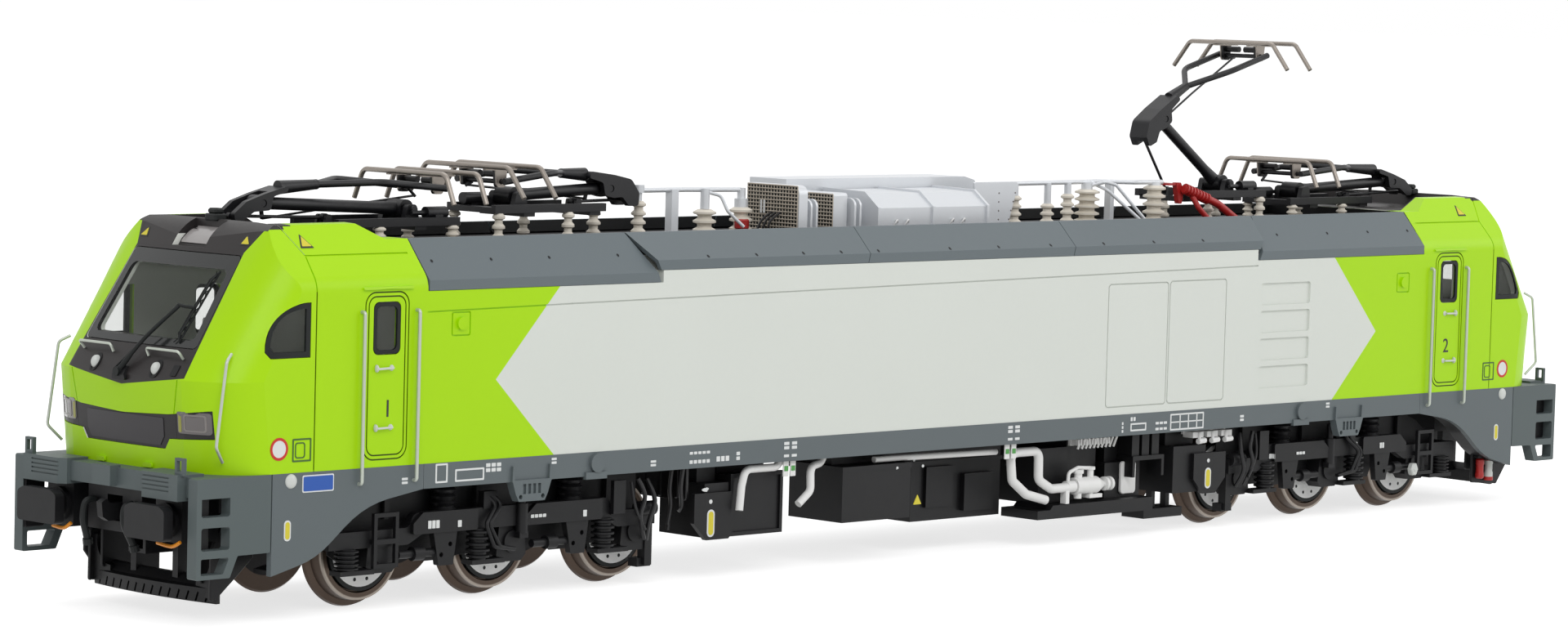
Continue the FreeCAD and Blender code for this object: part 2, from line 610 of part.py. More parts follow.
def jacking_lug(x):
    """A ribbed bracket with two holes under the sill, and two ribs on the sill above it."""
    half, low = s.lug_half, s.sill_bottom - s.lug_drop
    front = -s.sill_y - 0.35
    plate = prism([(x - half, s.sill_bottom + 0.2), (x - half + 0.6, low + 0.9), (x - half + 1.1, low),
                   (x + half - 1.1, low), (x + half - 0.6, low + 0.9), (x + half, s.sill_bottom + 0.2)],
                  "XZ_Plane", front, -s.sill_y + s.sill_thick, 0.15)
    for step in (-1.2, -0.4, 0.4, 1.2):
        plate = plate.cut(block((x + step - 0.25, x + step + 0.25), (front - 1, front + 0.3),
                                (low + 0.9, s.sill_bottom - 0.3)))
    for step in (-half + 1.4, half - 1.4):
        plate = plate.cut(Part.makeCylinder(0.28, 1.2, Vector(x + step, front - 0.5, low + 0.55),
                                            Vector(0, 1, 0)))
    for step in (-half, half - 0.4):
        plate = plate.fuse(prism([(x + step, s.sill_bottom), (x + step + 0.4, s.sill_bottom),
                                  (x + step + 0.3, s.sill_bottom + 1.9),
                                  (x + step + 0.1, s.sill_bottom + 1.9)],
                                 "XZ_Plane", front, -s.sill_y + 0.2))
    return plate


def lifting_boss(x):
    """A round boss on the sill over a short lug, beside the bogie."""
    boss = Part.makeCylinder(1.15, 0.55, Vector(x, -s.sill_y - 0.45, s.sill_top - 1.35),
                             Vector(0, 1, 0))
    return boss.fuse(block((x - 1.9, x + 1.6), (-s.sill_y - 0.3, -s.sill_y + 0.2),
                           (s.sill_bottom - 0.35, s.sill_bottom + 0.5)))


boss_reach = s.pivot_reach - 10.8
sill = block((-s.skirt_start, s.skirt_start), (-s.sill_y, -s.sill_y + s.sill_thick),
             (s.sill_bottom, s.sill_top))
fittings = [jacking_lug(x) for x in (-s.pivot_reach, s.pivot_reach)]
fittings += [lifting_boss(x) for x in (-boss_reach, boss_reach)]
node("solebars", both_sides([feature("solebar", sill.fuse(fittings).removeSplitter())]))

# each skirt sweeps down from the sill to the steps in two arcs
sweep = [(-s.skirt_end, s.sill_top), (-s.skirt_end, s.skirt_low_z),
         (-s.skirt_end + 6.7, s.skirt_low_z + 1.65, 12.0),
         (-s.skirt_start - 9.1, s.sill_bottom - 1.45, 14.0), (-s.skirt_start - 0.05, s.sill_bottom),
         (-s.skirt_start - 0.05, s.sill_top)]
skirts = both_sides([pad("skirt", "XZ_Plane", [outline(sweep)], "-sill_y", "-sill_y + sill_thick")])
node("skirts", skirts + [mirror(piece.Name + "_2", piece) for piece in skirts])

floor_plate = box("floor_plate", ("-skirt_end", "skirt_end"),
                  ("-sill_y + sill_thick + fit_gap", "sill_y - sill_thick - fit_gap"),
                  ("floor_low", "sill_top - 0.05"))
holes = [rod(f"pin_hole_{i}", "z", "bogie_pin_radius + fit_gap", "floor_low - 1", "sill_top + 1",
             (f"{sign}pivot_reach", "0")) for i, sign in enumerate(("-", ""))]
floor_bored = cut("floor_bored", floor_plate, fuse("pin_holes", holes))
# drawgear housings between the buffers, hung from the floor plate behind them
housing = fuse("drawgear", [
    box("drawgear_front", ("-apron_front + 1.6", "-skirt_end + 3"), ("-housing_y", "housing_y"),
        ("housing_low_z", "sill_top - beam_height - fit_gap")),
    box("drawgear_hanger", ("-skirt_end + 0.2", "-skirt_end + 3"), ("-housing_y", "housing_y"),
        ("housing_low_z", "floor_low + 0.5"))])
hook_space = box("hook_space", ("-apron_front", "-apron_front + 4"), ("-1.4", "1.4"),
                 ("housing_low_z + 1.2", "housing_low_z + 4.2"))
housing_cut = cut("drawgear_bored", housing, hook_space)
node("underframe", [fuse("underframe_all", [floor_bored, housing_cut,
                                            mirror("drawgear_bored_2", housing_cut)])])


# Front aprons with steps, buffers, couplings and snow ploughs

def apron_shape():
    """Side plates with three steps, joined by a ribbed beam, with lamp-bracket loops on top."""
    front, rear = -s.apron_front, -s.skirt_end - 0.15
    outer, inner = -s.sill_y, -s.sill_y + s.step_depth
    side = [(rear, s.sill_top), (rear, s.skirt_low_z + 2.8), (front + 6.0, s.skirt_low_z + 2.75),
            (front + 4.9, s.step_low_z), (front, s.step_low_z), (front, s.sill_top)]
    plate = prism(side, "XZ_Plane", outer, inner, 0.25)
    for low, high in ((12.3, 14.7), (8.5, 11.1)):
        plate = plate.cut(prism([(front + 0.7, low), (front + 4.8, low), (front + 4.8, high),
                                 (front + 0.7, high)],
                                "XZ_Plane", outer - 1, inner + 1, 0.3))
    plate = plate.cut(prism([(front + 0.7, s.step_low_z + 0.5), (front + 3.9, s.step_low_z + 0.5),
                             (front + 4.8, 7.6), (front + 0.7, 7.6)], "XZ_Plane", outer - 1, inner + 1,
                             0.2))
    # ribbed corner box over the buffer, and the loop on its outer end
    low_y, high_y = 7.06, s.sill_y - 2.6
    ribbed = prism([(front - 0.8, -low_y - 0.9), (front - 0.8, -high_y), (front + 3.0, -high_y),
                    (front + 3.0, -low_y), (front, -low_y)], "XY_Plane", s.sill_top - 2.7,
                    s.sill_top + 0.3)
    for step in range(4):
        level = s.sill_top - 1.75 + 0.5 * step
        ribbed = ribbed.cut(block((front - 1, front - 0.65), (-high_y + 1.6, -low_y + 0.2),
                                  (level, level + 0.18)))
    loop_y = -s.sill_y + 3.0
    loop = block((front - 0.3, front + 0.2), (loop_y - 0.75, loop_y + 0.75),
                 (s.sill_top + 0.2, s.sill_top + 2.2))
    loop = loop.cut(block((front - 1, front + 1), (loop_y - 0.4, loop_y + 0.4),
                          (s.sill_top + 0.7, s.sill_top + 1.9)))
    half = plate.fuse([ribbed, loop])
    beam = block((front + 0.5, rear), (-s.sill_y, s.sill_y), (s.sill_top - s.beam_height, s.sill_top))
    centre = block((front - 0.5, front + 1), (-1.7, 1.7), (s.sill_top - 2.1, s.sill_top + 0.25))
    return half.fuse([half.mirror(Vector(), Vector(0, 1, 0)), beam, centre]).removeSplitter()


both_ends("front_apron", [feature("apron", apron_shape())])

buffers = []
for side in (-1, 1):
    y, half_wide, half_high = side * s.buffer_y, s.buffer_head_width / 2, s.buffer_head_height / 2
    head = prism([(y - half_wide, s.buffer_z - half_high, 0.6),
                  (y + half_wide, s.buffer_z - half_high, 0.6),
                  (y + half_wide, s.buffer_z + half_high - 0.5, 0.6),
                  (y + half_wide - 1.1, s.buffer_z + half_high, 0.5),
                  (y - half_wide + 1.1, s.buffer_z + half_high, 0.5),
                  (y - half_wide, s.buffer_z + half_high - 0.5, 0.6)],
                 "YZ_Plane", -s.half_length, -s.half_length + s.buffer_head_thick)
    seat_x = -s.apron_front + 1.5
    neck = Part.makeCylinder(s.buffer_shank_radius, s.apron_length - 4,
                             Vector(-s.half_length + 0.8, y, s.buffer_z),
                             Vector(1, 0, 0))
    sleeve = Part.makeCylinder(s.buffer_sleeve_radius, s.apron_length - 5.5,
                               Vector(-s.half_length + s.buffer_reach + 0.9, y, s.buffer_z),
                               Vector(1, 0, 0))
    foot = block((seat_x, seat_x + 5.3), (y - 2.4, y + 2.4), (s.buffer_z - 2.5, s.sill_top - 2.75))
    buffers.append(feature(f"buffer_{side + 1}", head.fuse([neck, sleeve, foot]).removeSplitter()))
both_ends("buffers", buffers)

hook = prism([(-130.7, 10.9), (-129.9, 10.4), (-126.5, 10.4), (-126.5, 12.4), (-129.6, 12.4),
              (-130.2, 13.0),
              (-130.9, 12.6)], "XZ_Plane", -0.5, 0.5, 0.15)
hook.translate(Vector(130.2 - s.apron_front, 0, 0))
pocket_x = -s.skirt_end - 6
pocket = block((pocket_x, pocket_x + 5.5), (-s.pocket_half, s.pocket_half),
               (s.pocket_z - 1.3, s.housing_low_z - 0.1))
pocket = pocket.cut(block((pocket_x - 1, pocket_x + 3.2), (-s.pocket_half + 0.5, s.pocket_half - 0.5),
                          (s.pocket_z - 0.8, s.pocket_z + 0.8)))
both_ends("coupling", [feature("draw_hook", hook), feature("coupler_pocket", pocket)])


def plough_shape():
    """A bowed blade with a raised ledge, slanted slots along its foot and upswept horns."""
    half, sweep = s.plough_half, s.plough_sweep
    radius = (half ** 2 + sweep ** 2) / (2 * sweep)
    centre = Vector(-s.plough_x + radius, 0, 0)
    reach = math.degrees(math.asin(half / radius))
    low, high, thick = s.plough_low_z, s.plough_high_z, s.plough_thick
    middle = low + 1.7
    section = [Vector(-radius, 0, low), Vector(-radius - 0.15, 0, middle),
               Vector(-radius + 0.35, 0, middle + 0.25),
               Vector(-radius + 1.3, 0, high), Vector(-radius + 1.3 + thick, 0, high),
               Vector(-radius + thick, 0, middle),
               Vector(-radius + thick, 0, low)]
    face = Part.Face(Part.makePolygon(section + [section[0]]))
    face.rotate(Vector(), Vector(0, 0, 1), -reach)
    blade = face.revolve(Vector(), Vector(0, 0, 1), 2 * reach)
    blade.translate(centre)
    count = int(s.plough_slots)
    for slot in range(count):
        angle = reach * (2 * (slot + 0.5) / count - 1) * 0.94
        tool = block((-radius - 0.6, -radius + 0.35), (-0.14, 0.14), (-0.6, 0.6))
        tool.rotate(Vector(-radius, 0, 0), Vector(1, 0, 0), 25)
        tool.translate(Vector(0, 0, low + 0.65))
        tool.rotate(Vector(), Vector(0, 0, 1), angle)
        tool.translate(centre)
        blade = blade.cut(tool)
    horn_x = -s.plough_x + sweep - 0.35
    pieces = []
    for side in (-1, 1):
        horn = extruded([Part.LineSegment(Vector(side * half, low + 0.4),
                                          Vector(side * half, s.plough_horn_z)),
                         Part.LineSegment(Vector(side * half, s.plough_horn_z),
                                          Vector(side * (half - 0.9), s.plough_horn_z)),
                         Part.Arc(Vector(side * (half - 0.9), s.plough_horn_z),
                                  Vector(side * (half - 1.4), high + 0.6),
                                  Vector(side * (half - 3.4), high - 0.4)),
                         Part.LineSegment(Vector(side * (half - 3.4), high - 0.4),
                                          Vector(side * (half - 3.4), low + 0.9)),
                         Part.LineSegment(Vector(side * (half - 3.4), low + 0.9),
                                          Vector(side * half, low + 0.4))],
                        "YZ_Plane", horn_x, horn_x + thick)
        pieces.append(horn)
        pieces.append(block((horn_x + 0.2, -s.skirt_end), sorted((side * 3.4, side * 4.4)),
                            (low + 1.5, s.housing_low_z - 0.1)))
    return blade.fuse(pieces).removeSplitter()


both_ends("snow_plough", [feature("plough", plough_shape())])


# Handrails beside the doors, on the nose corners and under the windscreen

rail_y = s.half_width + 0.6
nose_out = s.nose_x
rails = []
for index, x in enumerate((s.door_front + 0.5, s.door_rear - 1.1)):
    rails.append(feature(f"door_rail_{index}", tube(
        [(-x, -s.half_width, 34.9), (-x, -rail_y, 34.9), (-x, -rail_y, 14.9), (-x, -s.sill_y, 14.9)],
        0.22, 0.35)))
rails.append(feature("nose_rail", tube(
    [(-nose_out + 3.2, -15.0, 30.5), (-nose_out + 2.0, -15.7, 29.8), (-nose_out + 0.6, -15.8, 20.0),
     (-nose_out + 2.2, -15.0, 18.2)], 0.18, 0.8)))
lean = s.screen_lean / (s.screen_top_z - s.nose_kink_z)
foot_x = -s.nose_kink_x + lean * (29.6 - s.nose_kink_z) + 0.25
rails.append(feature("mask_rail", tube(
    [(foot_x + 0.02, -9.2, 29.6), (foot_x - 0.75, -9.3, 30.5), (foot_x - 0.75, -3.3, 30.5),
     (foot_x - 0.32, -3.3, 29.6)],
    0.16, 0.4)))
both_ends("handrails", both_sides(rails))


# Roof equipment between the pantographs

mesh_box = prism([(-7, s.deck_z), (-7, 48.0, 1.2), (2.5, 48.0), (2.5, s.deck_z)], "YZ_Plane", -24.2,
                 -22.6)
duct = block((-22.7, -17.6), (-2.2, 2.4), (s.deck_z, 46.4))
small_box = prism([(-6, s.deck_z), (-6, 46.9, 0.4), (2.4, 46.9), (2.4, s.deck_z)], "YZ_Plane", -17.6,
                  -14.2)
filter_shape = mesh_box.fuse([duct, small_box])
for x in (-21.9, -20.9, -13.7, -12.7):
    filter_shape = filter_shape.fuse(prism([(-6.9, s.deck_z), (-6.9, 46.2, 1.0), (1.6, 46.2),
                                            (1.6, s.deck_z)],
                                           "YZ_Plane", x, x + 0.35))
filter_shape = filter_shape.fuse(block((-14.3, -11.6), (-4.6, 1.2), (s.deck_z, 45.6)))
node("filter_box", [feature("filters", filter_shape.removeSplitter())])

lower_housing = prism([(-7.6, s.deck_z), (-7.6, 44.9), (-5.2, 46.7), (2.4, 46.9), (2.4, s.deck_z)],
                      "YZ_Plane", -10.2, 11.5)
for x in (-10.2, 0.4, 11.1):
    rib = prism([(-7.9, s.deck_z), (-7.9, 45.0), (-5.3, 47.0), (2.4, 47.2), (2.4, s.deck_z)],
                "YZ_Plane", x, x + 0.45)
    lower_housing = lower_housing.fuse(rib)
upper_housing = prism([(-16.8, s.deck_z), (24.8, s.deck_z), (20.0, 47.8), (18, 48.3), (-16.8, 48.3)],
                      "XZ_Plane", 2.7, 9.5)
node("cooling_housing", [feature("housing_low", lower_housing), feature("housing_high", upper_housing)])


def insulator(name, x, y, height, radius=1.0, seat=None):
    """A ribbed post: a revolved profile of sheds on a core."""
    ribs = max(3, int(height / 0.95))
    pitch = height / ribs
    core = radius * 0.62
    profile = [(0, 0)]
    for rib in range(ribs):
        low = rib * pitch
        profile += [(core, low), (core, low + pitch * 0.35), (radius, low + pitch * 0.5),
                    (radius, low + pitch * 0.72)]
    profile += [(core, height), (0, height)]
    return feature(name, turned(profile, (x, y, s.deck_z if seat is None else seat)))


posts = []
for side in (-1, 1):
    for pivot_x, pivot_z, turn in ((s.outer_pivot_x, s.outer_pivot_z, 1),
                                   (s.inner_pivot_x, s.inner_pivot_z, -1)):
        for dx in (-5.1, 6.5):
            for y in (-s.base_half, s.base_half):
                posts.append(insulator(f"base_post_{len(posts)}", side * (pivot_x + turn * dx), y,
                                       pivot_z - s.base_drop - s.deck_z, 0.8))
BUS_Z = 47.35
STANDS = [(-54.0, 0, 3.6, 0.9), (-46.2, 0, 4.6, 0.95), (-35.0, -0.6, 3.4, 1.5), (-28.4, -0.6, 3.6, 1.5),
          (25.4, 0, 4.3, 0.95), (32.2, 0, 3.1, 0.95), (36.4, 0, 4.4, 0.95), (40.1, -0.4, 5.0, 1.75),
          (50.8, -3.6, 5.6, 1.6)]
for index, (x, y, height, radius) in enumerate(STANDS):
    posts.append(insulator(f"post_{index}", x, y, height, radius))
node("roof_insulators", posts)

# busbars carried on the posts, with the arrester stack and the earthing switch's arms
bars = []
left_bus = tube([(-46.9, 0, BUS_Z), (-38.0, 0, BUS_Z), (-28.6, -0.6, BUS_Z - 0.1)], 0.32, 6.0)
left_parts = [Part.makeCylinder(0.7, 1.0, Vector(-46.2, 0, BUS_Z - 0.3)),
              Part.makeCylinder(0.42, 1.5, Vector(-46.2, 0, BUS_Z - 1.3)),
              block((-40.9, -39.7), (-0.6, 0.6), (s.deck_z, BUS_Z + 0.1)),
              Part.makeCylinder(0.6, 2.6, Vector(-35.0, -0.6, BUS_Z - 2.5)),
              Part.makeCylinder(0.9, 1.1, Vector(-28.4, -0.6, 45.0)),
              Part.makeCylinder(0.55, 1.6, Vector(-28.4, -0.6, 45.9)),
              tube([(-34.3, -0.6, BUS_Z - 0.4), (-32.9, -1.4, BUS_Z - 0.8), (-32.4, -2.2, 44.6),
                    (-30.6, -3.4, 42.6)], 0.22, 0.9)]
bars.append(feature("bus_left", left_bus.fuse(left_parts)))
right_bus = tube([(25.2, 0, BUS_Z), (43.2, 0, BUS_Z + 0.1), (46.9, -3.4, BUS_Z + 0.1),
                  (52.2, -3.8, BUS_Z + 0.1)], 0.32, 1.2)
right_parts = [Part.makeCylinder(0.5, BUS_Z - 45.7, Vector(25.4, 0, 45.7)),
               Part.makeCylinder(0.5, BUS_Z - 44.5, Vector(32.2, 0, 44.5)),
               Part.makeCylinder(0.5, BUS_Z - 45.8, Vector(36.4, 0, 45.8)),
               Part.makeCylinder(0.8, BUS_Z - 46.4, Vector(40.1, -0.3, 46.4)),
               Part.makeCylinder(0.9, 0.5, Vector(50.8, -3.6, 47.0)),
               tube([(40.4, -0.7, 46.9), (41.5, -2.5, 47.5), (42.9, -3.3, 47.1), (46.7, -5.4, 42.4)],
                    0.24, 0.8),
               tube([(41.2, 0, BUS_Z), (41.7, -2.7, 46.4), (45.4, -5.6, 42.4)], 0.24, 0.8),
               block((43.8, 44.6), (-1.5, -0.4), (s.deck_z, BUS_Z))]
bars.append(feature("bus_right", right_bus.fuse(right_parts)))
node("roof_busbars", bars)


def ribbed_tube(points, radius, rib, pitch):
    """A straight thick cable with raised rings."""
    start, end = Vector(*points[0]), Vector(*points[1])
    way = end - start
    cable = Part.makeCylinder(radius, way.Length, start, way)
    count = int(way.Length / pitch)
    along = way.normalize()
    for ring_number in range(count):
        cable = cable.fuse(Part.makeCylinder(rib, pitch * 0.5,
                                             start + along * (pitch * (ring_number + 0.25)), along))
    return cable


cable = ribbed_tube([(54.9, -5.6, 46.6), (59.6, -6.2, 45.0)], 0.62, 0.78, 0.62)
cable = cable.fuse([tube([(59.5, -6.2, 45.05), (61.6, -6.4, 44.3), (64.6, -7.4, 42.1)], 0.55, 2.4),
                    tube([(56.4, -5.8, 45.6), (57.0, -6.6, 43.9), (58.4, -7.4, 42.2)], 0.4, 0.9)])
bracket = prism([(53.9, 47.4), (54.9, 47.4), (55.6, 46.2), (55.2, 44.4), (54.6, 44.4)], "XZ_Plane",
                -5.0, -4.2, 0.15)
bracket = bracket.fuse(block((52.4, 54.2), (-4.9, -2.4), (47.0, 47.3)))
node("roof_cables", [feature("pantograph_cable", cable), feature("cable_bracket", bracket)])


# Pantographs

def pantograph(tag, side, inner, raised):
    """Base, lower arm, upper arm, head and control rod; side is -1 towards cab 1.

    The inner pair's knees point to the middle of the roof, the outer pair's to the cabs.
    """
    pivot_x = s.inner_pivot_x if inner else s.outer_pivot_x
    pivot_z = s.inner_pivot_z if inner else s.outer_pivot_z
    lower = s.inner_lower if inner else s.outer_lower
    upper = s.inner_upper if inner else s.outer_upper
    head_half = s.inner_head_half if inner else s.outer_head_half
    lower_angle = math.radians(s.raised_lower_angle if raised else s.folded_lower_angle)
    upper_angle = math.radians(s.raised_upper_angle if raised else s.folded_upper_angle)
    # worked out as if the knee pointed to -X, then turned about when it points to +X
    pivot = Vector(0, 0, pivot_z)

    def tail(angle):
        turn = angle + math.radians(s.tail_angle)
        return Vector(s.tail_length * math.cos(turn), 0, s.tail_length * math.sin(turn))

    def knee_at(angle):
        return pivot + Vector(-lower * math.cos(angle), 0, lower * math.sin(angle))

    knee = knee_at(lower_angle)
    tip = knee + Vector(upper * math.cos(upper_angle), 0, upper * math.sin(upper_angle))
    up, down = math.radians(s.raised_lower_angle), math.radians(s.folded_lower_angle)
    tail_up = knee_at(up) + tail(math.radians(s.raised_upper_angle))
    tail_down = knee_at(down) + tail(math.radians(s.folded_upper_angle))
    # the rod's foot lies as far from the tail raised as folded
    way = tail_up - tail_down
    middle = (tail_up + tail_down) * 0.5
    foot_z = pivot_z - 0.9
    foot = Vector(middle.x - (foot_z - middle.z) * way.z / way.x, 0, foot_z)
    tail_now = knee + tail(upper_angle)

    across = Vector(0, 1, 0)

    def disc(centre, radius, low, high):
        return Part.makeCylinder(radius, high - low, centre + across * low, across)

    # base: two side beams on cross beams, with ears for the arm's pin and the rod's pin
    beam_low = pivot_z - s.base_drop
    beam_end = foot.x - 1.5
    base = [block((beam_end, s.base_tail), (y - 0.4, y + 0.4), (beam_low, beam_low + 1))
            for y in (-s.base_half, s.base_half)]
    for x, drop in ((-0.9, 0.5), (foot.x - 0.9, 0.5), (s.base_tail - 1.8, 0)):
        base.append(block((x, x + 1.8), (-s.base_half, s.base_half),
                          (beam_low - drop, beam_low - drop + 0.7)))
    for y in (-2.5, 1.7):
        base.append(prism([(-1.3, beam_low), (1.3, beam_low), (0.7, pivot_z + 0.6, 0.5),
                           (-0.7, pivot_z + 0.6, 0.5)],
                          "XZ_Plane", y, y + 0.8))
        ear = y * 0.4 + (0.1 if y < 0 else 0)
        base.append(prism([(foot.x - 0.6, beam_low), (foot.x + 0.6, beam_low),
                           (foot.x + 0.4, foot_z + 0.4, 0.3),
                           (foot.x - 0.4, foot_z + 0.4, 0.3)], "XZ_Plane", ear, ear + 0.4))
    # the raising cylinder beside the arm and its lever
    base.append(Part.makeCylinder(0.75, 3.2, Vector(1.6, -3.0, pivot_z - 0.4), Vector(1, 0, 0)))
    base.append(Part.makeCylinder(0.3, 2.6, Vector(-0.6, -3.0, pivot_z - 0.4), Vector(1, 0, 0)))
    base.append(block((2.4, 3.6), (-s.base_half, -2.6), (beam_low, pivot_z - 0.6)))
    base += [disc(pivot, 0.45, -3.0, 2.5), disc(foot, 0.22, -0.9, 0.9)]
    base = base[0].fuse(base[1:]).removeSplitter()
    # lower arm: a tapered tube with a bored eye at its foot and a cross pin at the knee
    along = (knee - pivot).normalize()
    lower_arm = disc(pivot, 1.15, -1.4, 1.4).fuse([
        Part.makeCone(0.95, s.arm_radius, 2.8, pivot + along * 0.6, along),
        Part.makeCylinder(s.arm_radius, lower - 4.9, pivot + along * 3.3, along),
        Part.makeCone(s.arm_radius, 0.5, 0.8, pivot + along * (lower - 1.7), along),
        Part.makeCylinder(0.5, 1.0, pivot + along * (lower - 1.0), along),
        disc(knee, 0.95, -0.6, 0.6), disc(knee, 0.4, -1.5, 1.5)])
    lower_arm = lower_arm.cut(disc(pivot, 0.45 + s.pin_gap, -4, 4)).removeSplitter()
    # upper arm: a curved casing over the knee with a tail for the rod, and a fork above
    fork = Vector(math.cos(upper_angle), 0, math.sin(upper_angle))
    above = Vector(-fork.z, 0, fork.x)

    def local(u, v):
        place = knee + fork * u + above * v
        return (place.x, place.z)

    tail_u, tail_v = (s.tail_length * math.cos(math.radians(s.tail_angle)),
                      s.tail_length * math.sin(math.radians(s.tail_angle)))
    if inner:
        casing_points = [
            local(3.6, 2.0) + (0.3,), local(-0.4, 1.75) + (1.2,),
            local(tail_u + 0.5, tail_v + 2.6) + (1.2,),
            local(tail_u - 1.0, tail_v + 0.9) + (0.6,), local(tail_u - 0.95, tail_v - 0.7) + (0.4,),
            local(tail_u + 0.7, tail_v - 0.8) + (0.4,), local(tail_u + 1.9, tail_v + 0.3) + (0.6,),
            local(-0.5, -1.15) + (0.6,), local(1.0, -0.9) + (0.5,), local(1.5, 0.7) + (0.6,),
            local(3.9, 1.15) + (0.3,)]
        slot_points = [local(1.25, 1.2), local(-0.4, 1.2), local(tail_u + 0.8, tail_v + 2.05),
                       local(tail_u - 0.6, tail_v + 0.7), local(tail_u - 1.6, tail_v - 0.9),
                       local(tail_u - 1.2, tail_v - 2.5), local(2.6, -2.5)]
    else:
        casing_points = [
            local(3.6, 1.75) + (0.3,), local(0.2, 1.1) + (0.6,), local(-2.6, 0.4) + (1.0,),
            local(tail_u - 0.6, tail_v + 0.4) + (0.5,), local(tail_u - 0.5, tail_v - 0.55) + (0.4,),
            local(tail_u + 0.6, tail_v - 0.6) + (0.4,), local(-1.5, -0.9) + (0.6,),
            local(1.0, -0.9) + (0.5,),
            local(1.5, 0.7) + (0.5,), local(3.9, 1.15) + (0.3,)]
        slot_points = [local(1.25, 3), local(tail_u - 2, 3), local(tail_u - 2, -4), local(3.2, -4),
                       local(2.0, -0.6), local(1.25, 0.8)]
    casing = prism(casing_points, "XZ_Plane", -1.6, 1.6)
    slot = prism(slot_points, "XZ_Plane", -0.85, 0.85)
    pieces = [casing.cut(slot)]
    split = knee + fork * 3.4 + above * 1.55
    stem_end = knee + fork * (upper * 0.36) + above * 1.5
    pieces.append(Part.makeCone(0.85, 0.6, (stem_end - split).Length, split, stem_end - split))
    pieces.append(Part.makeSphere(0.62, stem_end))
    for y in (-1, 1):
        bend = knee + fork * (upper * 0.62) + above * 1.5 + across * (y * s.fork_half)
        end = tip + fork * 0.4 + across * (y * s.fork_half)
        pieces.append(tube([stem_end + across * (y * 0.1), bend, end], s.fork_radius, 3.6))
    pieces.append(disc(tip, 0.3, -s.fork_half, s.fork_half))
    upper_arm = pieces[0].fuse(pieces[1:]).cut(disc(knee, 0.4 + s.pin_gap, -3, 3)).removeSplitter()
    # head: two contact strips with horns on hangers that turn on the cross bar
    parts = []
    rise = tip + Vector(0, 0, s.head_rise)
    for dx in (-s.strip_spacing / 2, s.strip_spacing / 2):
        parts.append(tube([(rise.x + dx, -head_half, rise.z - s.horn_drop),
                           (rise.x + dx, -s.strip_half, rise.z),
                           (rise.x + dx, s.strip_half, rise.z),
                           (rise.x + dx, head_half, rise.z - s.horn_drop)],
                          s.strip_radius, 1.2))
    hanger_y = s.fork_half - 1.3
    for y in (-hanger_y, hanger_y):
        parts.append(block((rise.x - s.strip_spacing / 2, rise.x + s.strip_spacing / 2),
                           (y - 0.25, y + 0.25),
                           (rise.z - 0.5, rise.z - 0.1)))
        parts.append(prism([(tip.x - 0.7, tip.z - 0.7, 0.4), (tip.x + 0.7, tip.z - 0.7, 0.4),
                            (tip.x + 1.0, rise.z - 0.2),
                            (tip.x - 1.0, rise.z - 0.2)], "XZ_Plane", y - 0.3, y + 0.3))
    # the two spring boxes beside the hangers point to the middle
    for y in (-1, 1):
        low, high = sorted((y * 0.5, y * hanger_y))
        parts.append(Part.makeCylinder(0.42, high - low, Vector(tip.x, low, rise.z - 1.0), across))
    head = parts[0].fuse(parts[1:]).cut(disc(tip, 0.3 + s.pin_gap, -9, 9)).removeSplitter()
    # control rod from the base's rod pin to the tail
    rod_way = tail_now - foot
    control = disc(foot, 0.5, -0.35, 0.35).fuse([
        Part.makeCylinder(s.rod_radius, rod_way.Length, foot, rod_way), disc(tail_now, 0.4, -0.3, 0.3)])
    control = control.cut(disc(foot, 0.22 + s.pin_gap, -3, 3)).removeSplitter()

    knees_minus_x = (side > 0) == inner
    for part_name, shape in (("base", base), ("lower_arm", lower_arm), ("upper_arm", upper_arm),
                             ("head", head), ("rod", control)):
        if not knees_minus_x:
            shape.rotate(Vector(), Vector(0, 0, 1), 180)
        shape.translate(Vector(side * pivot_x, 0, 0))
        node(f"pantograph_{tag}_{part_name}", [feature(f"{part_name}_{tag}", shape)])
    turn = 1 if knees_minus_x else -1
    print(f"pantograph_{tag}", [round(v, 3) for v in (
        side * pivot_x, pivot_z, side * pivot_x + turn * knee.x, knee.z,
        side * pivot_x + turn * tip.x, tip.z, side * pivot_x + turn * foot.x, foot.z)],
        "rod turn", round(math.degrees((tail_up - foot).getAngle(tail_down - foot)), 3),
        "knees minus x", knees_minus_x)


pantograph("a", -1, False, False)
pantograph("b", -1, True, False)
pantograph("c", 1, True, True)
pantograph("d", 1, False, False)


# Underfloor equipment, hung from the floor plate

tank_reach = s.pivot_reach - 29.2
hung = s.floor_low
face_y = -s.half_width + 1.4


def hung_tank(start, end, low, bevels):
    """A tank with bevelled lower corners behind its cover plate, seen from the side."""
    left, right = bevels
    points = [(start, 10.3), (start, low + left), (start + left, low), (end - right, low),
              (end, low + right), (end, 10.3)]
    return prism([point for index, point in enumerate(points)
                  if index == 0 or point != points[index - 1]],
                 "XZ_Plane", face_y, face_y + 0.7)


def tank_body(start, end, low):
    return block((start, end), (face_y + 0.6, -7), (low, 11.4)).fuse(block((start + 0.5, end - 0.5),
                                                                           (-13, -7), (11, hung)))


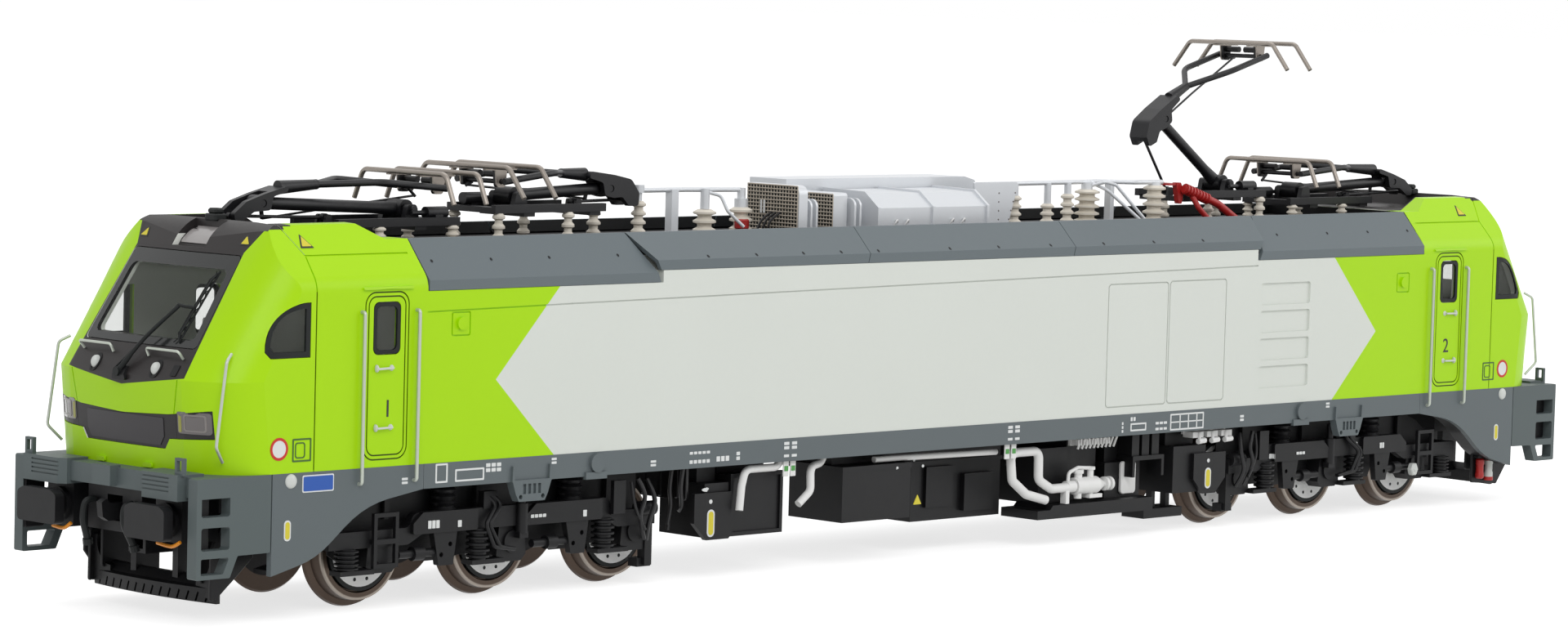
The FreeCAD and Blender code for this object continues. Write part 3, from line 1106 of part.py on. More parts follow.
equipment = [feature("tank_left", hung_tank(-tank_reach, -tank_reach + 6.5, 4.36, (2.2, 0.4)).fuse(
    tank_body(-tank_reach + 2.3, -tank_reach + 6.5, 4.6)))]
radiator = block((-43.4, -34.0), (face_y + 0.8, -5), (4.7, 12.2)).fuse(block((-42.9, -34.5), (-12, -5),
                                                                             (12, hung)))
for x in (-43.4, -34.5):
    radiator = radiator.fuse(block((x, x + 0.5), (face_y + 0.5, face_y + 1), (4.5, 12.4)))
for z in (4.5, 11.9):
    radiator = radiator.fuse(block((-43.4, -34.0), (face_y + 0.5, face_y + 1), (z, z + 0.5)))
equipment.append(feature("radiator", radiator.removeSplitter()))
battery = block((-23.6, -10.8), (face_y, -6), (5.0, 11.6)).fuse([
    block((-23.7, -10.7), (face_y - 0.1, -5.9), (11.5, 12.2)),
    block((-22.5, -11.9), (-12.5, -6), (12, hung))])
equipment.append(feature("battery_box", battery.removeSplitter()))
transformer = block((-4.7, 12.9), (-10, 10), (3.4, hung)).fuse([
    block((-2.2, 3.0), (-10.5, 10.5), (5.2, 10.6)), block((5.0, 10.6), (-10.8, 10.8), (4.4, 9.4)),
    block((-4.9, 13.1), (-10.2, 10.2), (10.9, 11.4))])
equipment.append(feature("transformer", transformer.removeSplitter()))
frame_bar = prism([(14.5, 3.0), (38.4, 3.0), (38.4, 4.8), (17.6, 4.8), (17.0, 4.2), (14.5, 4.2)],
                  "XZ_Plane", face_y, -9)
equipment.append(feature("equipment_frame", frame_bar.fuse([
    block((17.8, 23.6), (-12.6, -2), (4.7, 12.2)), block((24.4, 30.4), (-11.8, 2), (4.7, hung)),
    block((31.0, 38.4), (-13.0, 4), (4.7, 9.6)), block((32.0, 37.4), (-12.0, 4),
                                                       (9.5, hung))]).removeSplitter()))
stage = block((34.6, 41.2), (face_y + 0.6, -11.4), (9.9, 10.5))
for x in (34.8, 36.9, 39.0):
    stage = stage.fuse(block((x, x + 1.5), (face_y + 1.0, -11.4), (10.4, hung)))
for x in (34.6, 40.7):
    stage = stage.fuse(block((x, x + 0.5), (face_y + 0.6, -12.2), (7.6, 10.1)))
right_start = tank_reach - 3.2
equipment.append(feature("valve_rack", stage.cut(block((30.9, 38.5), (-13.1, 5), (4, 9.7))).cut(
    block((31.9, 37.5), (-12.1, 5), (9, 16)))))
equipment.append(feature("tank_right", hung_tank(right_start, right_start + 6.9, 4.6, (2.1, 2.1)).fuse(
    tank_body(right_start - 3.8, right_start + 3.2, 4.9))))
aerial = block((40.2, 48.4), (-12.5, -8.5), (1.3, 2.6)).fuse([
    block((43.5, 44.3), (-11, -10), (2.5, 5.2)), block((46.6, 47.4), (-11, -10), (2.5, 5.2))])
equipment[-1] = feature("tank_right_all", equipment[-1].Shape.fuse(aerial))
node("underfloor_equipment", equipment)

pipe_y = -s.half_width + 1.15
lagged = tube([(14.7 - 5.0, pipe_y + 0.6, 12.35), (14.7, pipe_y + 0.6, 12.35),
               (14.8, pipe_y + 0.6, 8.4),
               (17.4, pipe_y + 0.6, 7.05), (20.8, pipe_y + 0.6, 7.05)], 0.62, 1.1)
drop = tube([(10.6, pipe_y + 0.6, 12.35), (9.0, pipe_y + 0.6, 12.2), (9.5, pipe_y + 0.6, 8.6),
             (12.4, pipe_y + 0.6, 6.6),
             (16.4, pipe_y + 0.6, 5.6)], 0.62, 0.9)
compressor = Part.makeCylinder(1.15, 4.6, Vector(22.4, pipe_y + 1.0, 7.1), Vector(1, 0, 0)).fuse([
    Part.makeCylinder(0.8, 1.6, Vector(20.6, pipe_y + 0.8, 7.1), Vector(1, 0, 0)),
    Part.makeCone(1.15, 0.5, 1.4, Vector(27.0, pipe_y + 1.0, 7.1), Vector(1, 0, 0)),
    Part.makeCylinder(0.4, 1.6, Vector(28.0, pipe_y + 1.0, 7.1), Vector(1, 0, 0)),
    Part.makeCylinder(0.95, 0.45, Vector(28.7, pipe_y + 1.0, 7.1), Vector(1, 0, 0)),
    Part.makeCylinder(0.95, 0.45, Vector(29.6, pipe_y + 1.0, 7.1), Vector(1, 0, 0)),
    Part.makeCylinder(0.55, 3.6, Vector(23.4, pipe_y + 1.0, 5.4)),
    Part.makeCylinder(0.75, 0.5, Vector(23.4, pipe_y + 1.0, 8.8)),
    Part.makeCylinder(0.45, 3.8, Vector(25.9, pipe_y + 1.0, 5.6)),
    Part.makeCylinder(0.65, 0.4, Vector(25.9, pipe_y + 1.0, 9.2)),
    block((25.0, 27.6), (pipe_y + 0.2, pipe_y + 1.8), (5.4, 5.9)),
    block((20.0, 20.7), (pipe_y + 0.1, pipe_y + 1.1), (4.9, 7.1)),
    tube([(21.2, pipe_y + 0.9, 7.4), (21.3, pipe_y + 0.9, 9.0), (23.2, pipe_y + 0.9, 9.6),
          (25.9, pipe_y + 0.9, 9.4)], 0.25, 0.7)])
comb = block((22.7, 29.7), (-13.9, -13.5), (12.5, hung))
for fin in range(12):
    comb = comb.fuse(block((22.8 + 0.58 * fin, 23.05 + 0.58 * fin), (-15.2, -13.6), (12.6, 13.4)))
connectors = block((46.4, 55.6), (-14.0, -13.6), (12.9, hung))
for start in (46.6, 49.7, 52.8):
    connectors = connectors.fuse(block((start, start + 2.3), (-15.6, -13.8), (12.5, 13.3)))
pipes = [feature("lagged_pipes", lagged.fuse([drop, compressor]).removeSplitter()),
         feature("hose_left", tube([(-35.1, -15.6, 15.0), (-35.3, -15.7, 12.95), (-41.6, -15.8, 12.95),
                                    (-42.4, -16.0, 10.9), (-43.0, -16.3, 7.9)],
                                   0.5, 1.3)),
         feature("hose_middle", tube([(-26.4, -14.8, 15.0), (-26.6, -14.8, 13.0), (-29.4, -15.4, 12.6),
                                      (-29.8, -15.9, 9.6), (-32.0, -15.9, 8.0)],
                                     0.5, 1.3)),
         feature("conduit", tube([(-17.0, -14.8, 12.8), (-12.0, -14.8, 12.8), (6.6, -14.8, 12.6)], 0.4,
                                 30)),
         feature("cooling_comb", comb), feature("connectors", connectors)]
node("underfloor_pipes", pipes)


# Bogies

def coil(x, y, low, high):
    """A coil spring as a revolved stack of round turns on a core."""
    turns = int(s.spring_turns)
    pitch = (high - low) / turns
    core = s.spring_radius * 0.72
    profile = [(0, low)]
    for turn in range(turns):
        start = low + turn * pitch
        profile += [(core, start), (core, start + pitch * 0.18),
                    (s.spring_radius, start + pitch * 0.34),
                    (s.spring_radius, start + pitch * 0.66), (core, start + pitch * 0.82)]
    profile += [(core, high), (0, high)]
    return turned(profile, (x, y, 0))


def bogie_side(outer, inner):
    """What one side of a bogie carries, as pieces about its pivot on the right side."""
    face = -s.frame_out
    frame = [(-outer, 6.9), (-outer, 8.9), (-16.9, 8.9, 1.0), (-16.2, s.frame_high_z, 1.2),
             (15.2, s.frame_high_z, 1.0),
             (16.5, 8.9, 1.0), (inner, 8.9), (inner, 6.9), (17.0, 6.9, 1.0), (14.6, s.frame_low_z, 1.0),
             (-14.6, s.frame_low_z, 1.0), (-17.0, 6.9, 1.0)]
    pieces = [prism(frame, "XZ_Plane", face, -s.frame_y)]
    # the two outer beam covers with their bevelled upper corners
    for start, end in ((-16.7, -6.5), (1.4, 13.9)):
        pieces.append(prism([(start, s.frame_low_z), (end, s.frame_low_z), (end, s.frame_high_z + 0.05),
                             (start + 1.5, s.frame_high_z + 0.05), (start, s.frame_high_z - 1.2)],
                            "XZ_Plane", face - 0.6, face + 0.1, 0.3))
    for axle in (-1, 0, 1):
        x = axle * s.axle_spacing
        low = s.tread_radius - 2.4
        pieces.append(prism([(x - s.axlebox_half, low + 0.8), (x - s.axlebox_half + 0.8, low),
                             (x + s.axlebox_half - 0.8, low),
                             (x + s.axlebox_half, low + 0.8), (x + s.axlebox_half - 0.4, 8.3),
                             (x - s.axlebox_half + 0.4, 8.3)],
                            "XZ_Plane", face + 0.6, -s.frame_y + 1.8))
        pieces.append(Part.makeCylinder(1.35, 0.5, Vector(x, face + 0.3, s.tread_radius),
                                        Vector(0, 1, 0)))
        spring_x = x - s.spring_lead
        pieces.append(coil(spring_x, face + 0.4, s.spring_low_z,
                           s.frame_low_z - (1.2 if axle < 0 else 0)))
        pieces.append(block((spring_x - 1.7, x - s.axlebox_half + 0.3), (face - 0.6, face + 1.4),
                            (s.spring_low_z - 0.55, s.spring_low_z)))
    # brackets with two holes, and the guide rods between them and the axle boxes
    for start in (-13.3, 8.1):
        bracket = prism([(start, s.frame_low_z + 0.2), (start + 3.8, s.frame_low_z + 0.2),
                         (start + 3.2, 4.1), (start + 0.9, 4.1)],
                        "XZ_Plane", face - 0.3, face + 0.6, 0.2)
        for x, z in ((start + 1.3, 5.4), (start + 2.7, 6.6)):
            bracket = bracket.cut(Part.makeCylinder(0.3, 3, Vector(x, face - 1, z), Vector(0, 1, 0)))
        pieces.append(bracket)
        pieces.append(Part.makeCylinder(0.5, 5.6, Vector(start - 5.0, face + 0.4, 5.7),
                                        Vector(1, 0, 0)))
        pieces.append(Part.makeCylinder(0.85, 1.6, Vector(start - 2.8, face + 0.4, 5.7),
                                        Vector(1, 0, 0)))
    # step ladder below the door, and the damper's bracket
    ladder = block((-23.0, -19.2), (face - 0.85, face - 0.35), (4.5, 11.0))
    for low, high in ((5.0, 7.3), (7.9, 10.5)):
        ladder = ladder.cut(block((-22.5, -19.7), (face - 1, face), (low, high)))
    pieces.append(ladder)
    pieces.append(block((-22.9, -19.3), (face - 0.5, face + 0.2), (7.3, 7.9)))
    pieces.append(block((15.6, 17.6), (face - 0.8, face - 0.2), (8.6, 12.7)))
    pieces.append(block((15.6, 17.6), (face - 0.4, face + 0.6), (8.5, 9.3)))
    # vertical damper and its hoses at the middle axle
    pieces.append(Part.makeCylinder(0.75, 3.6, Vector(0.9, face - 0.2, 7.2)))
    pieces.append(Part.makeCylinder(0.45, 2.2, Vector(0.9, face - 0.2, 10.6)))
    pieces.append(block((0.2, 1.6), (face - 0.7, face + 0.4), (6.6, 7.4)))
    for shift in (0, 0.9):
        pieces.append(tube([(-4.6 + shift, face + 0.3, 12.2), (-3.4 + shift, face - 0.3, 10.9),
                            (-5.6 + shift * 0.6, face - 1.0, 8.7),
                            (-4.2 + shift, face - 1.0, 5.9), (-0.6, face - 0.7 + shift * 0.3, 5.4)],
                            0.26, 0.75))
    pieces.append(block((-5.2, -3.0), (face - 0.1, face + 0.9), (10.4, 12.5)))
    # brake rigging at the inner end
    pieces.append(block((inner - 1.2, inner), (face + 0.4, -s.frame_y + 0.6), (1.7, 7.2)))
    pieces.append(block((inner - 2.0, inner + 0.3), (face + 0.9, -s.frame_y + 1.4), (1.5, 2.6)))
    pieces.append(Part.makeCylinder(0.9, 2.8, Vector(inner - 3.0, face + 0.1, 8.9), Vector(1, 0, 0)))
    return pieces


def bogie(number, sign):
    """Frame with side and cross beams, springs, axle boxes and pivot pin; sign is -1 towards cab 1."""
    outer, inner = s.bogie_outer, s.bogie_inner
    side = bogie_side(outer, inner)
    right = side[0].fuse(side[1:])
    left = right.mirror(Vector(), Vector(0, 1, 0))
    pieces = [left, block((-outer, -outer + 1.1), (-s.frame_y - 0.2, s.frame_y + 0.2), (6.95, 8.85))]
    for x in (-s.axle_spacing / 2, s.axle_spacing / 2):
        pieces.append(block((x - 0.8, x + 0.8), (-s.frame_y - 0.2, s.frame_y + 0.2), (8.3, 10.2)))
    pieces.append(block((-s.axle_spacing / 2 - 0.8, s.axle_spacing / 2 + 0.8), (-4.5, 4.5),
                        (8.7, 10.2)))
    pieces.append(Part.makeCylinder(s.bogie_pin_radius, s.sill_top - 0.8 - 9, Vector(0, 0, 9)))
    whole = right.fuse(pieces)
    for axle in (-1, 0, 1):
        bore = Vector(axle * s.axle_spacing, -s.frame_y + 0.6, s.tread_radius)
        whole = whole.cut(Part.makeCylinder(s.axle_radius + 0.06, 2 * s.frame_y - 1.2, bore,
                                            Vector(0, 1, 0)))
    whole = whole.removeSplitter()
    if sign > 0:
        whole = whole.mirror(Vector(), Vector(1, 0, 0))
    whole.translate(Vector(sign * s.pivot_reach, 0, 0))
    node(f"bogie_frame_{number}", [feature(f"bogie_{number}", whole)])


bogie(1, -1)
bogie(2, 1)


# Wheelsets

def wheelset(number, x):
    """Axle with two flanged wheels, turned as one revolved profile about the axle."""
    body = doc.addObject("PartDesign::Body", f"wheelset_body_{number}")
    sketch = body.newObject("Sketcher::SketchObject", f"wheel_profile_{number}")
    flat = [o for o in body.Origin.OriginFeatures if o.Role == "XY_Plane"][0]
    sketch.AttachmentSupport = [(flat, "")]
    sketch.MapMode = "FlatFace"
    back = s.back_to_back / 2
    face = back + s.tyre_width
    flange = s.tread_radius + s.flange_depth
    half = [(s.axle_radius, 0), (s.axle_radius, back - 0.3), (s.hub_radius, back - 0.3),
            (s.hub_radius, back),
            (flange - 0.25, back), (flange, back + 0.3), (flange - 0.15, back + s.flange_width),
            (s.tread_radius + 0.1, back + s.flange_width + 0.25), (s.tread_radius - 0.1, face),
            (s.disc_radius + 0.5, face), (s.disc_radius + 0.35, face - s.web_depth),
            (s.disc_radius, face - s.web_depth),
            (s.disc_radius, face + s.disc_proud), (s.hub_radius, face + s.disc_proud),
            (s.axle_radius, face + 0.5), (s.axle_radius, face + s.axle_stub), (0, face + s.axle_stub)]
    points = half + [(p[0], -p[1]) for p in reversed(half[1:])]
    sketch.addGeometry(outline(points), False)
    turned_body = body.newObject("PartDesign::Revolution", f"wheel_turning_{number}")
    turned_body.Profile = sketch
    turned_body.ReferenceAxis = (sketch, ["V_Axis"])
    turned_body.Angle = 360
    sketch.Visibility = False
    bind(body, Placement__Base__x=x, Placement__Base__z="tread_radius")
    node(f"wheelset_{number}", [body])


number = 1
for sign in ("-", ""):
    for step in ("-", "0 * ", ""):
        wheelset(number, f"{sign}pivot_reach + ({step}axle_spacing)")
        number += 1


# Check every object and write the sub-parts

doc.recompute()
faults = []
for thing in doc.Objects:
    if "Invalid" in thing.State or "Error" in thing.State:
        faults.append(f"{thing.Name}: {thing.State}")
for part in NODES:
    if part.Shape.isNull() or not part.Shape.isValid() or not part.Shape.Solids:
        faults.append(f"{part.Label}: shape is null, invalid or has no solid")
if faults:
    raise RuntimeError("; ".join(faults))

os.makedirs("parts", exist_ok=True)
for part in NODES:
    part.Shape.exportStep(f"parts/{part.Label}.step")
print(len(NODES), "sub-parts,", sum(len(part.Shape.Solids) for part in NODES), "solids")
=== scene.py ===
import bpy
import bmesh
import math
from mathutils import Matrix, Vector
from mathutils.bvhtree import BVHTree


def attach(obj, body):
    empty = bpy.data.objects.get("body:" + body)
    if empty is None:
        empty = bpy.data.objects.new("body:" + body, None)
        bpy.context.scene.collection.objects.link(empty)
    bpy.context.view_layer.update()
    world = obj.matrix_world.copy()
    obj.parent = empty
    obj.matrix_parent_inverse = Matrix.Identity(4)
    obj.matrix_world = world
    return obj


# Looks of the scale model locomotive: paint, glazing, small fittings, plain signs, floor and light
#
# Lengths are millimetres, and heights count from the rail top, which lies at RAIL in the shared frame.

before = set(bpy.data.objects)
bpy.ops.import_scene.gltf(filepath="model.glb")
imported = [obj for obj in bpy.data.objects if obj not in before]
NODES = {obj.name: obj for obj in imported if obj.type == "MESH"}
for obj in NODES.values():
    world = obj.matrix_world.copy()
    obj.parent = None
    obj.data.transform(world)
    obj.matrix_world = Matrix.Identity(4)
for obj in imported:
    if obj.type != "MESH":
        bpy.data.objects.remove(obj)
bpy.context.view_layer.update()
RAIL = 0.9
PIVOT, SPACING, AXLE = 79.4, 20.55, 6.13    # the bogies' middles, the axles' spacing and their height
ENDS = ((-1, 1), (1, 2))
SIDES = (-1, 1)


def at(x, y, z):
    """A place in the shared frame, in metres, from millimetres above the rail top."""
    return Vector((x, y, z + RAIL)) / 1000


# Materials

def linear(*colour):
    """A colour of 0 to 255 as the shader's linear value."""
    shares = [value / 255 for value in colour]
    return (*(share / 12.92 if share <= 0.04045 else ((share + 0.055) / 1.055) ** 2.4 for share in shares), 1)


LIME, OFF_WHITE, GREY, DARK = (170, 221, 4), (217, 221, 215), (100, 109, 113), (44, 41, 41)


class Nodes:
    """A short way to build one material's nodes; a colour is given as three values of 0 to 255."""

    def __init__(self, name, roughness, metallic=0.0, coat=0.0, specular=0.5):
        self.material = bpy.data.materials.new(name)
        self.material.use_nodes = True
        self.tree = self.material.node_tree
        self.shader = self.tree.nodes["Principled BSDF"]
        for kind, value in (("Metallic", metallic), ("Coat Weight", coat), ("Specular IOR Level", specular)):
            self.shader.inputs[kind].default_value = value
        self.roughness = roughness
        self.place = self.add("ShaderNodeTexCoord").outputs["Object"]
        self.x, self.y, self.z = self.split(self.place)

    def add(self, kind, **settings):
        node = self.tree.nodes.new(kind)
        for name, value in settings.items():
            setattr(node, name, value)
        return node

    def link(self, start, end):
        self.tree.links.new(start, end)

    def put(self, value, socket):
        """Set a socket to a number or a colour, or link another socket to it."""
        if isinstance(value, (int, float)):
            socket.default_value = value
        elif isinstance(value, tuple):
            socket.default_value = linear(*value)
        else:
            self.link(value, socket)

    def split(self, vector):
        """A vector's three parts."""
        node = self.add("ShaderNodeSeparateXYZ")
        self.link(vector, node.inputs[0])
        return node.outputs

    def facing(self):
        """The three parts of the way that a face looks."""
        return self.split(self.add("ShaderNodeNewGeometry").outputs["True Normal"])

    def math(self, kind, *values, clamp=False):
        node = self.add("ShaderNodeMath", operation=kind, use_clamp=clamp)
        for value, socket in zip(values, node.inputs):
            self.put(value, socket)
        return node.outputs[0]

    def plus(self, first, second):
        return self.math("ADD", first, second)

    def minus(self, first, second, clamp=False):
        return self.math("SUBTRACT", first, second, clamp=clamp)

    def times(self, first, second):
        return self.math("MULTIPLY", first, second)

    def reach(self, value):
        """Millimetres from the middle, whichever side it is."""
        return self.times(self.math("ABSOLUTE", value), 1000)

    def height(self, base=RAIL):
        """Millimetres above a base, or above the rail top."""
        return self.minus(self.times(self.z, 1000), base)

    def mix(self, share, first, second):
        node = self.add("ShaderNodeMix", data_type="RGBA")
        self.put(share, node.inputs[0])
        self.put(first, node.inputs[6])
        self.put(second, node.inputs[7])
        return node.outputs[2]

    def above(self, value, edge, soft=0.03):
        """1 where value is above edge, with a hair's width of blur."""
        node = self.add("ShaderNodeMapRange")
        self.link(self.minus(value, edge), node.inputs[0])
        self.put(-soft, node.inputs[1])
        self.put(soft, node.inputs[2])
        return node.outputs[0]

    def gather(self, kind, shares):
        whole = shares[0]
        for share in shares[1:]:
            whole = self.math(kind, whole, share)
        return whole

    def both(self, *shares):
        return self.gather("MULTIPLY", shares)

    def either(self, *shares):
        return self.gather("MAXIMUM", shares)

    def noise(self, per_metre, detail):
        node = self.add("ShaderNodeTexNoise")
        self.link(self.place, node.inputs["Vector"])
        node.inputs["Scale"].default_value = per_metre
        node.inputs["Detail"].default_value = detail
        node.inputs["Roughness"].default_value = 0.55
        return node.outputs["Fac"]

    def bump(self, height, strength, distance=0.00005):
        node = self.add("ShaderNodeBump")
        node.inputs["Strength"].default_value = strength
        node.inputs["Distance"].default_value = distance
        self.link(height, node.inputs["Height"])
        self.link(node.outputs["Normal"], self.shader.inputs["Normal"])

    def finish(self, colour, grain=900, wear=0.06, bump=0.12, spread=0.12):
        """Colour with broad unevenness and fine dust, roughness that varies, and a fine grain."""
        broad = self.minus(self.noise(55, 2), 0.5)
        fine = self.noise(grain, 3)
        dust = self.minus(fine, 0.5)
        shade = self.plus(self.times(broad, wear), self.times(dust, wear * 0.6))
        colours = self.add("ShaderNodeVectorMath", operation="SCALE")
        self.link(colour, colours.inputs[0])
        self.link(self.plus(shade, 1.0), colours.inputs["Scale"])
        self.link(colours.outputs[0], self.shader.inputs["Base Color"])
        self.link(self.plus(self.times(dust, spread), self.roughness), self.shader.inputs["Roughness"])
        self.bump(fine, bump)
        return self.material

    def show(self, share, first, second):
        """Send a mix of two shaders to the material's output."""
        mix = self.add("ShaderNodeMixShader")
        for value, socket in zip((share, first, second), mix.inputs):
            self.link(value, socket)
        self.link(mix.outputs[0], self.tree.nodes["Material Output"].inputs[0])
        return self.material


def plain(name, colour, roughness, grain=900, wear=0.06, bump=0.12, **shader):
    """One colour all over, with the usual unevenness."""
    n = Nodes(name, roughness, **shader)
    holder = n.add("ShaderNodeRGB")
    holder.outputs[0].default_value = linear(*colour)
    return n.finish(holder.outputs[0], grain, wear, bump)


def body_paint():
    """Lime cabs, the white flanks' arrow ends, the dark mask round the windscreen, grooves darkened with
    painted shade and inner faces painted near white as painted light.
    """
    n = Nodes("body_paint", 0.38, coat=0.03, specular=0.22)
    x, y, z = n.reach(n.x), n.reach(n.y), n.height()
    rise = n.minus(z, 26.2)
    fall = n.math("MAXIMUM", n.times(rise, 0.93), n.times(rise, -1.02))
    colour = n.mix(n.above(n.minus(85.3, fall), x), LIME, OFF_WHITE)
    # the mask's side edges lean in a little with height and spread again over the roof
    edge = n.minus(10.75, n.times(n.minus(z, 27.5), 0.06))
    edge = n.plus(edge, n.times(n.math("MAXIMUM", n.minus(z, 41.6), 0.0), 0.62))
    chin = n.plus(n.times(y, 0.127), 26.15)
    mask = n.both(n.above(edge, y), n.above(z, chin), n.above(x, 112.9))
    trough = n.both(n.above(9.8, y), n.above(x, 96.4), n.above(z, 41.5))
    cap = n.both(n.above(x, 114.1), n.above(z, 44.15), n.above(11.9, y))
    colour = n.mix(n.either(mask, trough, cap), colour, DARK)
    # the moulding's inner faces are painted near white, far paler than their own grey: painted light, so that
    # the dim cabs read lit
    facing = n.facing()
    inward = [n.above(-0.2, n.times(way, n.math("SIGN", place)), 0.05)
              for way, place in zip(facing, (n.x, n.y))]
    under = n.above(-0.3, facing[2], 0.05)
    room = n.either(n.above(37.0, z), n.both(n.above(9.5, y), n.above(43.0, z)))
    bulkhead = n.both(n.above(97.6, x), n.above(x, 90))
    inside = n.both(n.above(16.2, y), n.above(127.3, x), n.above(z, 16.8),
                    n.either(n.both(room, n.either(inward[0], bulkhead)), inward[1], under))
    trench = n.both(n.above(9.9, y), n.above(z, 43.1), n.above(facing[2], -0.3, 0.01))
    colour = n.mix(n.minus(inside, trench, clamp=True), colour, (236, 238, 232))
    # grooves under the flat flank get painted shade: dark lime lines where shade falls in them
    groove_shade = n.both(n.above(16.93, y), n.above(y, 16.7), n.above(37.4, z), n.above(z, 16.9),
                    n.above(x, 98.6), n.above(115.4, x))
    colour = n.mix(n.times(groove_shade, 0.85), colour, (40, 52, 18))
    # the roof well's end walls are dark
    well = n.both(n.above(97.0, x), n.above(z, 40.3),
                  n.either(inward[0], n.both(n.above(96.0, x), n.above(15.9, y))))
    colour = n.mix(well, colour, (20, 20, 21))
    return n.finish(colour, 1400, 0.035, 0.06, 0.08)


def cornice_paint():
    """Grey outside and black on the faces that look to the roof's middle."""
    n = Nodes("cornice_paint", 0.45, specular=0.3)
    inner = n.above(-0.2, n.times(n.facing()[1], n.math("SIGN", n.y)), 0.05)
    return n.finish(n.mix(inner, GREY, (16, 17, 18)), 900, 0.05)


def head_paint(name, level):
    """Bare strips and horns, with the spring boxes below a level black."""
    n = Nodes(name, 0.34, metallic=0.55)
    low = n.both(n.above(level, n.height()), n.above(3.2, n.reach(n.y)))
    return n.finish(n.mix(low, (150, 142, 134), (26, 25, 26)), 1000, 0.25)


def tyre_paint():
    """Brown steel treads with brighter edges, and near-black webs and axles."""
    n = Nodes("wheel_steel", 0.36, metallic=0.55, specular=0.4)
    # the distance from the nearest axle, and from it the radius
    along = n.minus(n.math("ABSOLUTE", n.x), (PIVOT - SPACING / 2) / 1000)
    along = n.math("FRACT", n.math("DIVIDE", along, SPACING / 1000))
    along = n.times(n.minus(along, 0.5), SPACING)
    rise = n.height(RAIL + AXLE)
    radius = n.math("SQRT", n.plus(n.times(along, along), n.times(rise, rise)))
    y = n.reach(n.y)
    web = n.either(n.above(4.95, radius, 0.05), n.above(7.1, y, 0.05))
    edge = n.both(n.above(radius, 5.75, 0.08), n.above(y, 9.7, 0.1))
    colour = n.mix(web, n.mix(edge, (84, 70, 60), (168, 158, 148)), (22, 21, 22))
    return n.finish(colour, 1100, 0.3, 0.15)


def glazing(name, tint):
    """Thin clear plastic that tints what is behind it."""
    n = Nodes(name, 0.04)
    glass = n.add("ShaderNodeBsdfTransparent")
    glass.inputs[0].default_value = tint
    gloss = n.add("ShaderNodeFresnel")
    gloss.inputs[0].default_value = 1.45
    n.shader.inputs["Base Color"].default_value = (0.1, 0.105, 0.1, 1)
    n.shader.inputs["Roughness"].default_value = n.roughness
    n.bump(n.noise(60, 1), 0.02, 0.0001)
    film = 0.07
    share = n.math("ADD", n.times(gloss.outputs[0], film), film, clamp=True)
    return n.show(share, glass.outputs[0], n.shader.outputs[0])


M = {
    "body": body_paint(),
    "grey": plain("grey_paint", (95, 103, 106), 0.45, wear=0.05, specular=0.3),
    "apron": plain("apron_paint", (88, 97, 98), 0.47, wear=0.05, specular=0.25),
    "cornice": cornice_paint(),
    "hose": plain("hose_rubber", (18, 18, 20), 0.4, wear=0.2, specular=0.4),
    # the wheel discs are painted whiter than their own white: painted light against the shade under the body
    "disc": plain("wheel_disc_painted_light", (250, 250, 250), 0.45, wear=0.04),
    "black": plain("black_plastic", (15, 15, 17), 0.5, wear=0.3, grain=700, bump=0.2, specular=0.28),
    "under": plain("underframe_black", (14, 14, 16), 0.48, wear=0.3, grain=600, bump=0.2, specular=0.28),
    "glass": glazing("glazing", (0.96, 0.97, 0.96, 1)),
    "dusk": glazing("side_glazing", (0.95, 0.95, 0.95, 1)),
    # the cab interior is painted near white, far paler than its own grey: painted light, so that the dim cabs
    # read lit
    "inside": plain("interior_plastic", (232, 234, 230), 0.6, wear=0.1),
    "cast": plain("die_cast", (60, 60, 62), 0.6, metallic=0.3, wear=0.2),
    "wire": plain("rail_wire", (186, 192, 182), 0.35, metallic=0.35, wear=0.1),
    "silver": plain("silver_paint", (216, 219, 223), 0.36, metallic=0.2, wear=0.05),
    "cream": plain("cream_plastic", (226, 219, 206), 0.5),
    "white": plain("white_plastic", (232, 232, 231), 0.45, specular=0.35),
    "wheel": tyre_paint(),
    "arm": plain("panto_metal", (20, 20, 23), 0.4, wear=0.3, grain=800, bump=0.2, specular=0.35),
    "red": plain("red_cable", (168, 30, 28), 0.42, wear=0.1),
    "dark": plain("mask_plastic", (34, 32, 33), 0.4, wear=0.08, specular=0.28),
    "orange": plain("orange_plastic", (226, 140, 20), 0.45, wear=0.08),
    "yellow": plain("yellow_print", (214, 200, 52), 0.5),
    "blue": plain("blue_print", (28, 82, 170), 0.45),
    "signred": plain("red_print", (196, 40, 30), 0.5),
    "print": plain("white_print", (222, 224, 224), 0.5, wear=0.05),
    "ink": plain("black_print", (30, 34, 30), 0.5, wear=0.1),
    "green": plain("green_print", (58, 96, 22), 0.5, wear=0.1),
    "olive": plain("lamp_stripe", (142, 142, 34), 0.35, coat=0.3, wear=0.1),
    "smoke": plain("smoked_lens", (88, 82, 82), 0.16, coat=0.5, wear=0.12),
    "ash": plain("lamp_edge", (120, 114, 112), 0.3, coat=0.3, wear=0.1),
    "lens": plain("roof_lens", (152, 148, 147), 0.3, coat=0.4, wear=0.08),
    "plate": plain("nose_plate", (54, 52, 55), 0.4, wear=0.08, specular=0.3),
    "border": plain("glass_border", (38, 40, 40), 0.16, coat=0.15, specular=0.35),
    "guard": plain("guard_wire", (186, 176, 162), 0.4, metallic=0.3, wear=0.15),
    "rubber": plain("black_rubber", (20, 23, 23), 0.55, wear=0.2, specular=0.25),
    "pale": plain("pale_plastic", (206, 209, 206), 0.42, wear=0.08),
    "lime": plain("lime_paint", LIME, 0.36, coat=0.12, wear=0.035),
    "leaf": plain("leaf_print", (74, 150, 70), 0.5, wear=0.05),
}


def dress(name, material):
    mesh = NODES[name].data
    mesh.materials.clear()
    mesh.materials.append(material)


